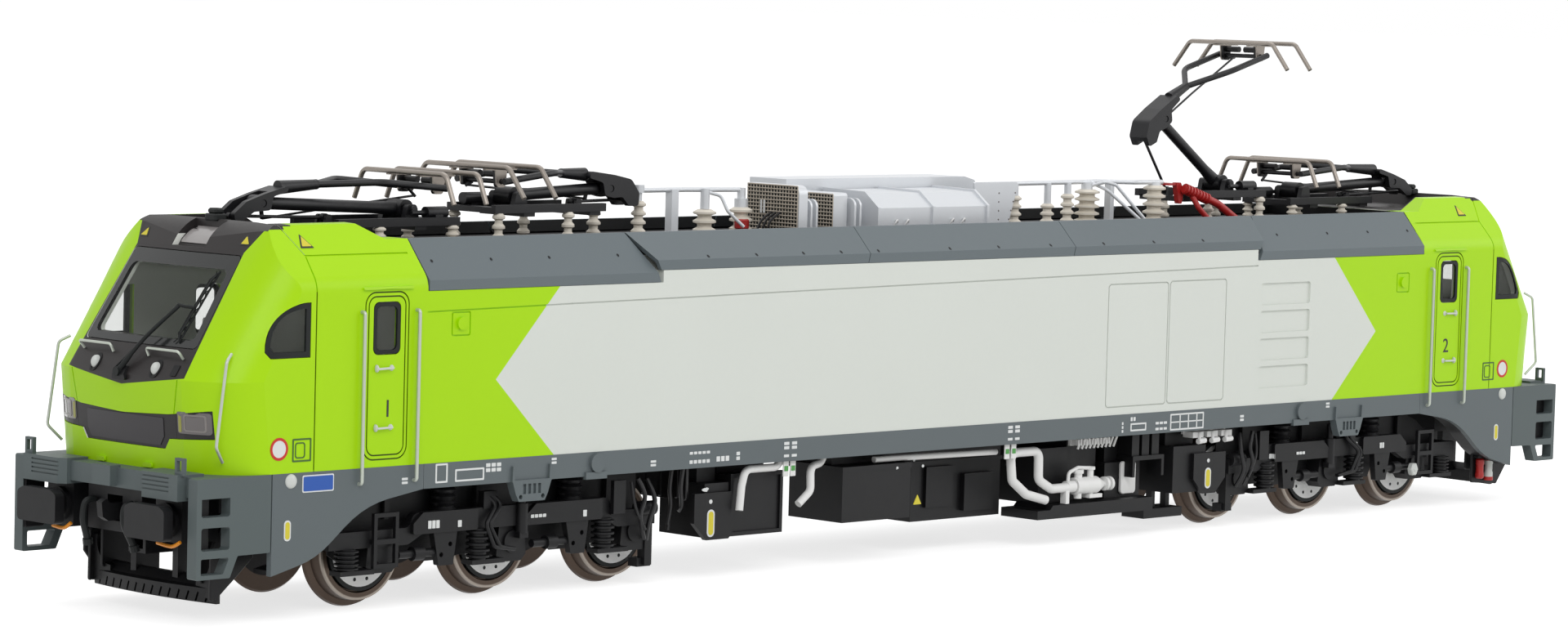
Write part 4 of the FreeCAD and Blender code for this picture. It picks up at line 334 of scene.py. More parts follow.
# the material of each CAD node, by the starts of the nodes' names
RULES = {"body": "body_shell", "cornice": "cornice", "grey": "solebars skirts", "apron": "front_apron",
         "glass": "windscreen", "dusk": "cab_windows", "dark": "lamp_bands", "inside": "cab_interior",
         "cast": "ballast", "wire": "handrails", "cream": "roof_insulators", "red": "roof_cables",
         "silver": "roof_busbars cooling_housing filter_box", "wheel": "wheelset",
         "white": "underfloor_pipes", "under": "underframe underfloor_equipment",
         "black": "bogie buffers coupling snow_plough roof_deck"}
for key, starts in RULES.items():
    for name in NODES:
        if name.startswith(tuple(starts.split())):
            dress(name, M[key])
# each head's spring boxes lie below its own level
outer_head = head_paint("outer_head", 49.6)
HEADS = {"a": outer_head, "b": head_paint("inner_head", 50.3), "c": head_paint("raised_head", 66.6),
         "d": outer_head}
for name in NODES:
    if name.startswith("pantograph"):
        dress(name, HEADS[name[11]] if name.endswith("head") else M["arm"])


# Small tools for the scene's own pieces

# the slot of each material's pieces, where it isn't the white plastic's
SLOTS = dict.fromkeys(("black", "rubber", "hose", "ink", "green", "plate"), "black_plastic")
SLOTS.update(border="glazing", smoke="glazing", lime="body_paint", arm="panto_metal",
             silver="silver_paint", guard="silver_paint")


def add_piece(name, mesh, key, body="loco_body", slot=None):
    """One piece of a mesh, in a material and on a body; its slot is worked out from the material but not
    given to it.
    """
    mesh.materials.append(M[key])
    piece = bpy.data.objects.new(name, mesh)
    bpy.context.scene.collection.objects.link(piece)
    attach(piece, body)
    slot or SLOTS.get(key, "white_plastic")


def across(axis, level, a, b):
    """The place at a level along an axis, and at a and b in the plane across it."""
    return {"x": (level, a, b), "y": (a, level, b), "z": (a, b, level)}[axis]


def ring(first, second, sides):
    """Places round a centre, from two half-widths at right angles."""
    return [math.cos(turn) * first + math.sin(turn) * second
            for turn in (math.tau * step / sides for step in range(sides))]


class Form:
    """A mesh gathered from small parts, which becomes one piece."""

    def __init__(self):
        self.bm = bmesh.new()

    def sheet(self, rows):
        """Quads between closed rows of places."""
        grid = [[self.bm.verts.new(at(*place)) for place in row] for row in rows]
        for low, high in zip(grid, grid[1:]):
            for index, vert in enumerate(low):
                after = (index + 1) % len(low)
                self.bm.faces.new((vert, low[after], high[after], high[index]))
        return grid

    def solid(self, rows):
        """A closed skin over rows of places, with both ends capped."""
        grid = self.sheet(rows)
        self.bm.faces.new(reversed(grid[0]))
        self.bm.faces.new(grid[-1])

    def tube(self, line, radius, sides=10):
        """A round bar along a line; radius is one size, or one for each place."""
        places = [Vector(place) for place in line]
        last = len(places) - 1
        radii = radius if isinstance(radius, list) else [radius] * len(places)
        side = (places[1] - places[0]).orthogonal().normalized()
        rows = []
        for index, place in enumerate(places):
            way = (places[min(index + 1, last)] - places[max(index - 1, 0)]).normalized()
            side = (side - way * side.dot(way)).normalized()
            rows.append([place + radii[index] * point for point in ring(side, way.cross(side), sides)])
        self.solid(rows)

    def plate(self, loop, axis, low, high, bevel=0.1):
        """A plate over a loop in the plane across an axis, with its outer edge eased."""
        centre = [sum(values) / len(loop) for values in zip(*loop)]

        def row(level, inset):
            shares = [1 - inset / (math.dist(place, centre) or 1) for place in loop]
            return [across(axis, level, *(c + (value - c) * share for value, c in zip(place, centre)))
                    for place, share in zip(loop, shares)]
        step = min(bevel, (high - low) / 3)
        self.solid([row(low, bevel), row(low + step, 0), row(high - step, 0), row(high, bevel)])

    def panel(self, loop, side, near, far, bevel=0.1):
        """A plate on one side, between two distances from the middle."""
        self.plate(loop, "y", *sorted((side * near, side * far)), bevel)

    def dome(self, place, way, size, depth, sides=16, rise=5, wide=(1, 0, 0)):
        """A rounded cap standing on a place; size holds its two half-widths, the first along wide."""
        place, way, wide = Vector(place), Vector(way).normalized(), Vector(wide).normalized()
        points = ring(size[0] * wide, size[1] * way.cross(wide), sides)
        rows = [[place - way * 0.15 + point for point in points]]
        for level in range(rise):
            tilt = math.radians(82) * level / (rise - 1)
            rows.append([place + way * depth * math.sin(tilt) + math.cos(tilt) * point for point in points])
        self.solid(rows)

    def border(self, outer, inner, lay, lift, thick=0.1):
        """A flat frame between two loops with the same count of places, laid on a surface."""
        rows = ((outer, lift - thick), (outer, lift), (inner, lift), (inner, lift - thick))
        self.sheet([[lay(place, level) for place in loop] for loop, level in rows])

    def patch(self, loop, lay, lift, thick=0.1, rings=3):
        """A filled shape laid on a surface."""
        centre = [sum(values) / len(loop) for values in zip(*loop)]
        rows = [[lay(place, lift - thick) for place in loop]]
        for inset in range(rings):
            share = 1 - inset / rings
            rows.append([lay([c + (value - c) * share for value, c in zip(place, centre)], lift)
                         for place in loop])
        grid = self.sheet(rows)
        middle = self.bm.verts.new(at(*lay(centre, lift)))
        last = grid[-1]
        for index, vert in enumerate(last):
            self.bm.faces.new((vert, last[(index + 1) % len(last)], middle))

    def done(self, name, key, body="loco_body", slot=None):
        """Make the piece, smooth but for its edges of more than 35 degrees."""
        bmesh.ops.recalc_face_normals(self.bm, faces=self.bm.faces[:])
        mesh = bpy.data.meshes.new(name)
        self.bm.to_mesh(mesh)
        self.bm.free()
        mesh.shade_smooth()
        mesh.set_sharp_from_angle(angle=math.radians(35))
        add_piece(name, mesh, key, body, slot)

    def pair(self, name, key, slot=None):
        """Make the piece with the mirror image of all its parts at the other end."""
        geometry = self.bm.verts[:] + self.bm.edges[:] + self.bm.faces[:]
        for item in bmesh.ops.duplicate(self.bm, geom=geometry)["geom"]:
            if isinstance(item, bmesh.types.BMVert):
                item.co.x = -item.co.x
        self.done(name, key, slot=slot)


def rounded(corners, radius, arc=4, cuts=5):
    """A loop round corners with arcs, and some places along each side."""
    arcs = []
    for index, corner in enumerate(corners):
        here = Vector(corner)
        before = (Vector(corners[index - 1]) - here).normalized()
        after = (Vector(corners[(index + 1) % len(corners)]) - here).normalized()
        half = before.angle(after) / 2
        back = radius / math.tan(half)
        middle = here + (before + after).normalized() * radius / math.sin(half)
        start, end = here + before * back - middle, here + after * back - middle
        arcs.append([middle + start.lerp(end, step / arc).normalized() * radius for step in range(arc + 1)])
    loop = []
    for steps, following in zip(arcs, arcs[1:] + arcs[:1]):
        loop += steps + [steps[-1].lerp(following[0], (cut + 1) / (cuts + 1)) for cut in range(cuts)]
    return [tuple(place) for place in loop]


def box_loop(low, high, radius, arc=4, cuts=3):
    """A rounded box between its lowest and its highest corner."""
    return rounded([low, (high[0], low[1]), high, (low[0], high[1])], radius, arc, cuts)


def round_loop(centre, width, height=None, sides=28):
    height = width if height is None else height
    turns = [math.tau * step / sides for step in range(sides)]
    return [(centre[0] + width * math.cos(turn), centre[1] + height * math.sin(turn)) for turn in turns]


def sided(loop, side):
    """A loop drawn on the positive side, laid on either side."""
    return [(side * a, b) for a, b in loop]


def even(half):
    """A loop's corners from one half, closed by its mirror image."""
    return half + [(-a, b) for a, b in reversed(half)]


def curve(points, cuts=6):
    """A smooth line through places."""
    ends = [Vector(place) for place in [points[0]] + list(points) + [points[-1]]]
    line = []
    for a, b, c, d in zip(ends, ends[1:], ends[2:], ends[3:]):
        for step in range(cuts):
            t = step / cuts
            line.append(0.5 * (2 * b + (c - a) * t + (2 * a - 5 * b + 4 * c - d) * t ** 2
                               + (3 * b - a - 3 * c + d) * t ** 3))
    return line + [ends[-1]]


def surface(axis, sign, *names):
    """A way to lay places on nodes' outer faces, seen from far along an axis."""
    whole = bmesh.new()
    for name in names:
        whole.from_mesh(NODES[name].data)
    tree = BVHTree.FromBMesh(whole)
    whole.free()
    outward = Vector(across(axis, sign, 0, 0))

    def lay(place, lift):
        start = at(*across(axis, 0, *place))
        hit = tree.ray_cast(start + outward * 0.3, -outward)[0]
        if hit is None:
            depth = 0.12 if axis == "x" else 0.017
            hit = tree.find_nearest(start + outward * depth)[0]
        reach = hit.dot(outward) * 1000 - start.dot(outward) * 1000
        return Vector((start.x, start.y, start.z - RAIL / 1000)) * 1000 + outward * (reach + lift)
    return lay


# Nose: windscreen border, lamps, wiper, roof lamp and aerial, the same at both cabs

NOSE = surface("x", -1, "body_shell", "windscreen_1", "lamp_bands_1")

form = Form()
form.border(rounded(even([(10.2, 30.8), (9.8, 41.2)]), 0.5), rounded(even([(9.2, 31.6), (8.8, 39.6)]), 0.8),
            NOSE, 0.03)
form.pair("windscreen_border", "border")

form = Form()
for side in SIDES:
    form.patch(sided(box_loop((9.5, 21.2), (13.8, 23.7), 0.35), side), NOSE, 0.06)
form.pair("marker_lamps", "smoke")

form = Form()
for side in SIDES:
    form.border(sided(box_loop((10.5, 21.45), (13.3, 23.45), 0.3), side),
                sided(box_loop((10.7, 21.65), (13.1, 23.25), 0.2), side), NOSE, 0.1)
form.pair("marker_lamp_edges", "ash")

form = Form()
for side in SIDES:
    form.patch(sided(box_loop((9.65, 21.35), (10.1, 23.4), 0.1), side), NOSE, 0.09)
form.pair("marker_lamp_stripes", "olive")

form = Form()
form.patch(rounded(even([(6.4, 19.55), (7.1, 20.6), (7.1, 22.75)]), 0.2), NOSE, 0.08)
form.pair("nose_plate", "plate")

form = Form()
for y in (-5.6, 5.6):
    form.dome(NOSE((y, 28.25), 0.0), (-1, 0, 0.12), (0.56, 0.8), 0.7, wide=(0, 1, 0))
form.pair("mask_lamps", "pale")

form = Form()
for y in (-5.6, 5.6):
    form.border(round_loop((y, 28.25), 0.8, 1.05), round_loop((y, 28.25), 0.54, 0.78), NOSE, 0.12)
form.patch(box_loop((-9.3, 27.7), (-8.3, 28.9), 0.15), NOSE, 0.12)
form.patch(rounded(even([(1.25, 26.65), (0.75, 28.3)]), 0.2), NOSE, 0.45, 0.4)
form.pair("mask_fittings", "black")

# the wiper: a doubled arm from the mask to the elbow, and a trussed blade
form = Form()
foot, elbow, grip = NOSE((0.2, 27.6), 0.5), NOSE((-5.5, 35.4), 1.5), NOSE((-7.45, 35.3), 0.8)
form.tube(curve([foot, foot.lerp(elbow, 0.5) + Vector((-0.5, 0, 0.1)), elbow], 5),
          [0.34] * 3 + [0.24] * 8)
form.tube([foot + Vector((0, 0.65, 0.3)), elbow + Vector((0.1, 0.5, 0.0))], 0.1, 8)
form.tube([elbow + Vector((0, 0.15, 0.1)), elbow.lerp(grip, 0.5) + Vector((-0.2, 0, 0.0)), grip], 0.2)
form.tube([foot + Vector((0.5, 0, 0)), foot + Vector((-0.35, 0, 0))], 0.55, 14)
blade = [NOSE((-7.1 - 0.7 * step / 8, 31.3 + 8.1 * step / 8), 0.12) for step in range(9)]
form.tube(blade, 0.13, 8)
bow = [place + Vector((-0.55, 0.0, 0)) for place in blade]
form.tube([blade[0]] + bow[1:-1] + [blade[-1]], 0.12, 8)
twin = [place + Vector((-0.2, 0.75, 0)) for place in blade]
form.tube([twin[1].lerp(blade[0], 0.6)] + twin[1:-1] + [twin[-2].lerp(blade[-1], 0.7)], 0.1, 8)
for step in range(8):
    form.tube([blade[step], bow[step + 1]], 0.07, 6)
    form.tube([blade[step + 1], twin[step]], 0.07, 6)
turned = Form()
turned.bm = form.bm.copy()
for vert in turned.bm.verts:
    vert.co.x, vert.co.y = -vert.co.x, -vert.co.y
form.done("wiper_1", "rubber")
turned.done("wiper_2", "rubber")

form = Form()
for y in (-4.35, 4.35):
    form.patch(box_loop((y - 0.75, 16.85), (y + 0.75, 17.35), 0.1, 2, 2), NOSE, 0.35, 0.3)
form.pair("nose_tabs", "lime")

form = Form()
form.patch(rounded([(-2.7, 42.15), (2.7, 42.15), (2.55, 44.0), (-2.55, 44.0)], 0.2), NOSE, 0.12)
form.pair("roof_lamp", "lens")

form = Form()
form.plate(box_loop((-115.5, -1.15), (-113.7, 1.15), 0.4), "z", 44.7, 45.55, 0.15)
form.plate(box_loop((-115.25, -0.85), (-113.9, 0.85), 0.35), "z", 45.5, 46.2, 0.22)
form.pair("roof_aerials", "rubber")


# Cab sides: window gaskets, door fittings, plain numbers, signs and marks

def side_window(gap):
    """The side window's loop with its long curve, drawn in by a gap."""
    front, rear, low, high = -120.5 + gap, -114.0 - gap, 29.9 + gap, 36.25 - gap
    length, height = rear - front, high - low
    start, middle, end = [Vector(place) for place in (
        (rear - 0.08 * length, high), (front + 0.32 * length, high - 0.24 * height),
        (front, low + 0.12 * height))]
    guide = middle * 2 - (start + end) / 2
    corners = [Vector((front + 0.1 * length, low)), Vector((rear, low)), Vector((rear, high)), start]
    loop = [first.lerp(second, step / 6) for first, second in zip(corners, corners[1:]) for step in range(6)]
    for step in range(15):
        t = step / 14
        loop.append(start.lerp(guide, t).lerp(guide.lerp(end, t), t))
    return [tuple(place) for place in loop]


def flanks(*names):
    """The ways to lay places on nodes' outer faces at both sides."""
    return {side: surface("y", side, *names) for side in SIDES}


WALLS = flanks("body_shell", "cab_windows_1", "cab_windows_2")
PANES = flanks("cab_windows_1", "cab_windows_2")
SILLS = flanks("skirts", "solebars", "front_apron_1", "front_apron_2")
EAVES = flanks("cornice")

form = Form()
for side in SIDES:
    form.border(side_window(0.08), side_window(0.72), PANES[side], 0.3, 0.3)
    form.border(box_loop((-104.52, 29.9), (-100.48, 35.9), 0.72),
                box_loop((-104.05, 30.35), (-100.95, 35.45), 0.6), PANES[side], 0.3, 0.3)
form.pair("window_gaskets", "rubber")

form = Form()
for side in SIDES:
    form.panel(box_loop((-106.3, 37.45), (-98.7, 37.75), 0.1), side, 16.9, 17.3, 0.08)
form.pair("rain_strips", "lime")

form = Form()
for side in SIDES:
    wall = side * 17.0
    for z in (28.25, 21.3):
        form.dome((-101.7, wall, z), (0, side, 0), (0.36, 0.36), 0.18)
        form.tube([(-101.7, wall, z), (-101.7, side * 17.38, z), (-104.1, side * 17.42, z - 0.05)], 0.14, 8)
        form.dome((-104.1, side * 17.2, z), (0, side, 0), (0.22, 0.45), 0.3)
form.pair("door_handles", "pale", slot="rail_wire")

form = Form()
for side in SIDES:
    form.dome((-116.58, side * 17.05, 15.77), (0, side, 0), (0.85, 0.85), 0.32, 20)
form.pair("jacking_caps", "pale")


# plain numbers beside the doors, from the program's own letter shapes
for end, number in ENDS:
    for side in SIDES:
        name = f"door_number_{number}_{'near' if side < 0 else 'far'}"
        letters = bpy.data.curves.new(name + "_outline", "FONT")
        letters.body = str(number)
        letters.size, letters.extrude = 0.0029, 0.00003
        letters.align_x = letters.align_y = "CENTER"
        holder = bpy.data.objects.new(name + "_outline", letters)
        mesh = bpy.data.meshes.new_from_object(holder)
        bpy.data.objects.remove(holder)
        turn = Matrix.Rotation(math.radians(90), 4, "X")
        if side > 0:
            turn = Matrix.Rotation(math.pi, 4, "Z") @ turn
        mesh.transform(Matrix.Translation(at(end * 102.2, side * 17.01, 23.4)) @ turn)
        add_piece(name, mesh, "ink")

SIGNS = {key: Form() for key in ("signred", "print", "ink", "yellow", "blue", "green")}
red, white, ink, yellow, blue, green = SIGNS.values()


def triangle(x, lean, drop, climb, lay, edge, field):
    """A yellow triangle with a dark edge, high on a slope; edge and field hold a reach and a lift."""
    for form, (reach, lift) in ((ink, edge), (yellow, field)):
        loop = rounded([(x - reach, 42.95 - reach * drop), (x + reach, 42.95 - reach * drop),
                        (x - reach * lean, 42.95 + reach * climb)], 0.05, 2, 3)
        form.patch(loop, lay, lift)


# at each end: a round white sign with a red edge, a square outline, a triangle on the roof's slope and an
# oval on the skirt
for disc, square, peak, oval in ((-118.4, -115.05, -112.0, -117.0), (116.4, 112.9, 109.6, 115.35)):
    for side in SIDES:
        wall, sill = WALLS[side], SILLS[side]
        spot = (disc, 19.55)
        red.border(round_loop(spot, 1.32), round_loop(spot, 1.0), wall, 0.05)
        white.patch(round_loop(spot, 1.02), wall, 0.03)
        green.border(box_loop((square - 1.4, 17.95), (square + 1.4, 20.65), 0.15),
                     box_loop((square - 1.2, 18.15), (square + 1.2, 20.45), 0.1), wall, 0.05)
        green.border(box_loop((square - 1.0, 18.35), (square + 0.5, 20.2), 0.35),
                     box_loop((square - 0.85, 18.5), (square + 0.35, 20.05), 0.25), wall, 0.05)
        triangle(peak, 0.3, 0.7, 0.85, wall, (1.0, 0.06), (0.72, 0.1))
        white.patch(box_loop((oval - 0.5, 8.9), (oval + 0.5, 11.3), 0.45), sill, 0.05)
        yellow.patch(box_loop((oval - 0.32, 9.1), (oval + 0.32, 11.1), 0.3), sill, 0.08)
# a plain blue plate on each side's skirt
for side, low, high in ((-1, -114.9, -110.2), (1, 110.2, 114.9)):
    white.patch(box_loop((low, 14.35), (high, 16.35), 0.2), SILLS[side], 0.05)
    blue.patch(box_loop((low + 0.15, 14.5), (high - 0.15, 16.2), 0.15), SILLS[side], 0.08)
for lay in (NOSE, surface("x", 1, "body_shell")):
    for side in SIDES:
        triangle(side * 9.4, side * 0.4, 0.6, 0.8, lay, (0.85, 0.05), (0.62, 0.1))


def bars(form, low, size, pitch, gaps, radius, lay, lift):
    """A printed mark as rows of small bars, about a pitch apart; low is its lowest corner."""
    columns, rows = (max(1, round(whole / step)) for whole, step in zip(size, pitch))
    wide, tall = size[0] / columns, size[1] / rows
    for row in range(rows):
        for column in range(columns):
            left, foot = low[0] + column * wide, low[1] + row * tall
            loop = box_loop((left, foot), (left + wide - gaps[0], foot + tall - gaps[1]), radius, 2, 1)
            form.patch(loop, lay, lift, 0.05, 2)


# marks on the sills: plain white frames and bars, each by its lowest corner, length and height
FRAMES = ((-94.6, 14.3, 1.9, 2.3), (-91.5, 14.3, 4.6, 1.5), (31.4, 14.3, 3.3, 1.1), (39.8, 14.0, 7.2, 2.3))
BARS = ((-99.8, 14.5, 1.1, 0.9), (-59.4, 14.4, 1.1, 0.9), (-52.7, 15.5, 3.7, 0.5), (-52.7, 14.35, 3.7, 0.6),
        (-48.0, 14.4, 2.4, 0.8), (-44.5, 14.4, 0.8, 1.2), (-76.0, 15.6, 1.0, 0.9), (-86.6, 15.2, 2.6, 1.2),
        (-36.0, 15.3, 1.1, 1.1), (-34.6, 15.3, 1.1, 1.1), (-36.0, 14.3, 1.1, 0.5), (-34.6, 14.3, 1.1, 0.5),
        (6.4, 15.3, 1.1, 1.1), (7.8, 15.3, 1.1, 1.1), (6.4, 14.3, 1.1, 0.5), (7.8, 14.3, 1.1, 0.5),
        (29.6, 14.2, 0.5, 1.6), (31.4, 15.7, 1.2, 0.7), (36.7, 14.2, 2.6, 0.5), (36.7, 15.0, 2.6, 0.5),
        (55.0, 14.6, 1.0, 1.0), (74.3, 15.6, 1.0, 0.9))
for side in SIDES:
    sill = SILLS[side]
    for x, z, length, height in FRAMES:
        outer = box_loop((x, z), (x + length, z + height), 0.1, 2, 2)
        inner = box_loop((x + 0.22, z + 0.22), (x + length - 0.22, z + height - 0.22), 0.06, 2, 2)
        white.border(outer, inner, sill, 0.05)
    for x, z, length, height in BARS:
        bars(white, (x, z), (length, height), (0.75, 0.55), (0.2, 0.16), 0.05, sill, 0.04)
    for x in (41.8, 43.6, 45.4):
        white.patch(box_loop((x, 14.1), (x + 0.2, 16.2), 0.05, 2, 1), sill, 0.05)
    white.patch(box_loop((40.0, 15.05), (46.9, 15.22), 0.05, 2, 1), sill, 0.05)
# and small round and oval marks below them
UNDER = surface("y", -1, "underfloor_equipment")
for x, z, width, height in ((-48.1, 10.75, 0.9, 0.25), (-47.4, 9.2, 0.28, 0.28), (-13.5, 11.6, 0.2, 0.2),
                            (-8.6, 11.6, 0.2, 0.2), (-4.2, 11.6, 0.2, 0.2), (50.1, 9.2, 0.28, 0.28)):
    white.patch(round_loop((x, z), width, height, 12), UNDER, 0.06)
for x, foot in ((-47.3, 4.75), (50.1, 5.3)):
    white.patch(box_loop((x - 0.65, foot), (x + 0.65, 8.2), 0.6), UNDER, 0.05)
    yellow.patch(box_loop((x - 0.42, foot + 0.25), (x + 0.42, 7.95), 0.4), UNDER, 0.08)
yellow.patch(rounded([(-10.15, 6.6), (-8.65, 6.6), (-9.4, 7.9)], 0.05, 2, 2), UNDER, 0.06)

for key, form in SIGNS.items():
    form.done(f"signs_{key}", key)


# Small fittings on the roof, the wheels, the beams, the bogies and the floor

# a row of dark screw heads along each cornice
form = Form()
for side in SIDES:
    for x in (-94.3, -84.9, -75.5, -64.1, -50.0, -41.5, -33.1, -26.2, -19.3, -5.7, 3.8, 14.2, 25.0, 35.5,
              46.0, 64.1, 75.5, 84.9, 94.3):
        z = 40.45 if abs(x) > 60 else 40.1
        form.patch(round_loop((x, z), 0.17, sides=10), EAVES[side], 0.06, 0.1, 2)
form.done("cornice_screws", "black")

# wheel faces: pale discs, painted whiter than their own white as painted light against the shade under the
# body, with round dark holes and a black ring inside the tyre
for end in (-1, 1):
    for step in (-1, 0, 1):
        centre = end * PIVOT + step * SPACING
        number = (1 if end < 0 else 4) + (1 + step)
        tyre, rim, hub = (round_loop((centre, AXLE), radius, sides=48) for radius in (4.95, 4.45, 1.7))
        discs, holes = Form(), Form()
        for side in SIDES:
            face = side * 10.17

            def on_face(place, lift):
                return place[0], face + side * lift, place[1]
            discs.border(rim, hub, on_face, 0.05, 0.08)
            holes.border(tyre, rim, on_face, 0.03, 0.2)
            for turn in range(12):
                way = math.tau * (turn + 0.5) / 12
                hole = (centre + 3.65 * math.cos(way), face, AXLE + 3.65 * math.sin(way))
                holes.dome(hole, (0, side, 0), (0.36, 0.36), 0.07, 12, 3)
            holes.dome((centre, face, AXLE), (0, side, 0), (1.55, 1.55), 0.5, 20, 4)
        discs.done(f"wheel_faces_{number}", "disc", f"wheels_{number}")
        holes.done(f"wheel_holes_{number}", "rubber", f"wheels_{number}")

# orange release levers, brake hoses and hose taps at both beams
form, hoses = Form(), Form()
for line in (((-129.8, -9.5, 8.8), (-130.2, -12.6, 8.7), (-130.0, -13.9, 9.3)),
             ((-129.8, 10.1, 8.84), (-130.2, 7.5, 8.82), (-130.0, 6.4, 9.5))):
    form.tube(curve(line, 4), 0.22, 8)
form.pair("release_levers", "orange")
for y in (-3.6, 3.4):
    line = ((-128.9, 1, 12.6), (-130.1, 1.05, 12.2), (-130.3, 1.1, 10.4), (-129.6, 1.2, 8.6),
            (-129.2, 1.25, 7.7))
    hoses.tube(curve([(x, y * share, z) for x, share, z in line]), 0.42, 10)
    hoses.tube([(-129.25, y * 1.24, 7.9), (-129.1, y * 1.26, 7.2)], 0.6, 10)
hoses.pair("brake_hoses", "rubber")

# woven guards on the filter boxes
form, backs = Form(), Form()
low, high, foot = -6.8, 2.3, 41.6
for x, top in ((-24.3, 47.9), (-17.7, 46.8)):
    columns, rows = round((high - low) / 0.54), round((top - foot) / 0.47)
    for step in range(columns + 1):
        y = low + (high - low) * step / columns
        form.tube([(x, y, foot), (x, y, top)], 0.085, 6)
    backs.plate(box_loop((low + 0.1, foot), (high - 0.1, top - 0.1), 0.1), "x", x + 0.02, x + 0.12, 0.03)
    for step in range(rows + 1):
        z = foot + (top - foot) * step / rows
        form.tube([(x - 0.06, low, z), (x - 0.06, high, z)], 0.085, 6)
form.done("filter_guards", "guard")
backs.done("filter_backs", "rubber")
form = Form()
for y in (-0.9, -0.35):
    form.tube([(-24.45, y, 44.2), (-24.45, y, 45.9)], 0.13, 8)
form.done("filter_marks", "print")

# small roof fittings: a red ring on a post, leads beside it, hooks and an end plate on the housing
form = Form()
form.tube([(-29.1, -1.5, z) for z in (42.2, 42.35, 43.35, 43.5)], [0.8, 0.95, 0.95, 0.8], 20)
form.done("post_ring", "red")
form = Form()
for shift in (0.0, 0.8, 1.6):
    line = ((-27.2 + shift * 0.3, -2.2, 41.5), (-26.4, -2.4, 43.3), (-24.9, -2.7, 44.4))
    form.tube(curve([(x, y - shift, z) for x, y, z in line], 4), 0.16, 8)
form.done("filter_leads", "hose")
form = Form()
for x in (-6.5, -4.4, 4.4, 6.6):
    line = ((-0.3, -7.5, 42.4), (-0.25, -7.85, 43.0), (0.1, -7.85, 43.3), (0.35, -7.55, 43.0))
    form.tube(curve([(x + a, y, z) for a, y, z in line], 4), 0.13, 8)
form.done("housing_hooks", "white")
form = Form()
form.plate(rounded([(15.2, 41.6), (22.2, 41.6), (24.2, 47.5), (23.6, 47.75), (15.2, 47.75)], 0.15),
           "y", -1.75, -1.3, 0.08)
form.done("housing_end", "silver")
form = Form()
for z in (42.6, 43.8, 45.0, 46.2):
    for x in (22.0 + (z - 41.6) * 0.33, 20.2):
        form.dome((x, -1.75, z), (0, -1, 0), (0.13, 0.13), 0.08, 10, 3)
form.done("housing_rivets", "ash", slot="silver_paint")

# thin guide rods under the pantographs' upper arms: the lower arm's pivot, the two arms' lengths and the
# side that the knee lies on; pantograph c is raised at rest
for tag, pivot, height, lower, upper, turn in (
        ("a", -86.25, 45.7, 22.3, 25.7, -1), ("b", -68.52, 47.0, 16.2, 20.4, 1),
        ("c", 68.52, 47.0, 16.2, 20.4, -1), ("d", 86.25, 45.7, 22.3, 25.7, 1)):
    rise, lean = (math.radians(angle) for angle in ((34.7, 26.2) if tag == "c" else (2.6, 3.4)))
    knee = Vector((pivot + turn * lower * math.cos(rise), 0, height + lower * math.sin(rise)))
    along = Vector((-turn * math.cos(lean), 0, math.sin(lean)))
    over = Vector((turn * math.sin(lean), 0, math.cos(lean)))

    def on_arm(u, v, y):
        return knee + along * u + over * v + Vector((0, y, 0))
    form = Form()
    # the gap narrows to the head, so that a folded rod clears its base
    wide, narrow = (-2.1, -1.2) if lower > 20 else (-1.5, -0.7)
    form.tube([on_arm(1.9, wide, 1.35), on_arm(upper * 0.5, (wide + narrow) / 2, 1.8),
               on_arm(upper + 0.9, narrow, 2.2)], 0.15, 8)
    form.tube([on_arm(1.7, -0.4, 1.35), on_arm(1.9, wide - 0.05, 1.35)], 0.26, 8)
    form.tube([on_arm(upper - 0.1, -0.3, 2.2), on_arm(upper + 0.9, narrow - 0.1, 2.2)], 0.2, 8)
    form.done(f"guide_rod_{tag}", "arm", f"upper_arm_{tag}")

# dark screens, springs and hoses of the bogies, and their plain white marks; places along a bogie count
# from its middle to the locomotive's middle. The screens stand partly for the bogies' dark brake gear and
# partly are painted shade over the wheels' tops
SHADE_SCREEN = ((-27.0, 6.0), (-24.8, 4.7), (-16.2, 4.7), (-15.0, 5.5), (-12.8, 5.5), (-12.2, 4.3), (-8.4, 4.3),
          (-6.6, 4.7), (4.4, 4.7), (5.6, 5.5), (7.8, 5.5), (8.4, 4.3), (12.2, 4.3), (14.0, 4.7), (22.8, 4.7),
          (22.8, 13.2), (20.9, 14.5), (-13.6, 14.5), (-14.6, 13.2), (-20.6, 13.1), (-23.6, 12.0),
          (-27.0, 9.4))
HOSES = ((0.28, ((19.5, 15.4, 12.8), (20.4, 15.8, 10.6), (19.7, 15.8, 8.2), (20.9, 15.3, 5.2))),
         (0.3, ((21.6, 14.8, 12.6), (22.2, 15.7, 10.0), (21.4, 15.6, 7.4), (21.9, 14.6, 5.0))),
         (0.2, ((18.6, 15.2, 12.4), (18.9, 15.7, 9.4), (20.6, 15.8, 6.4))))
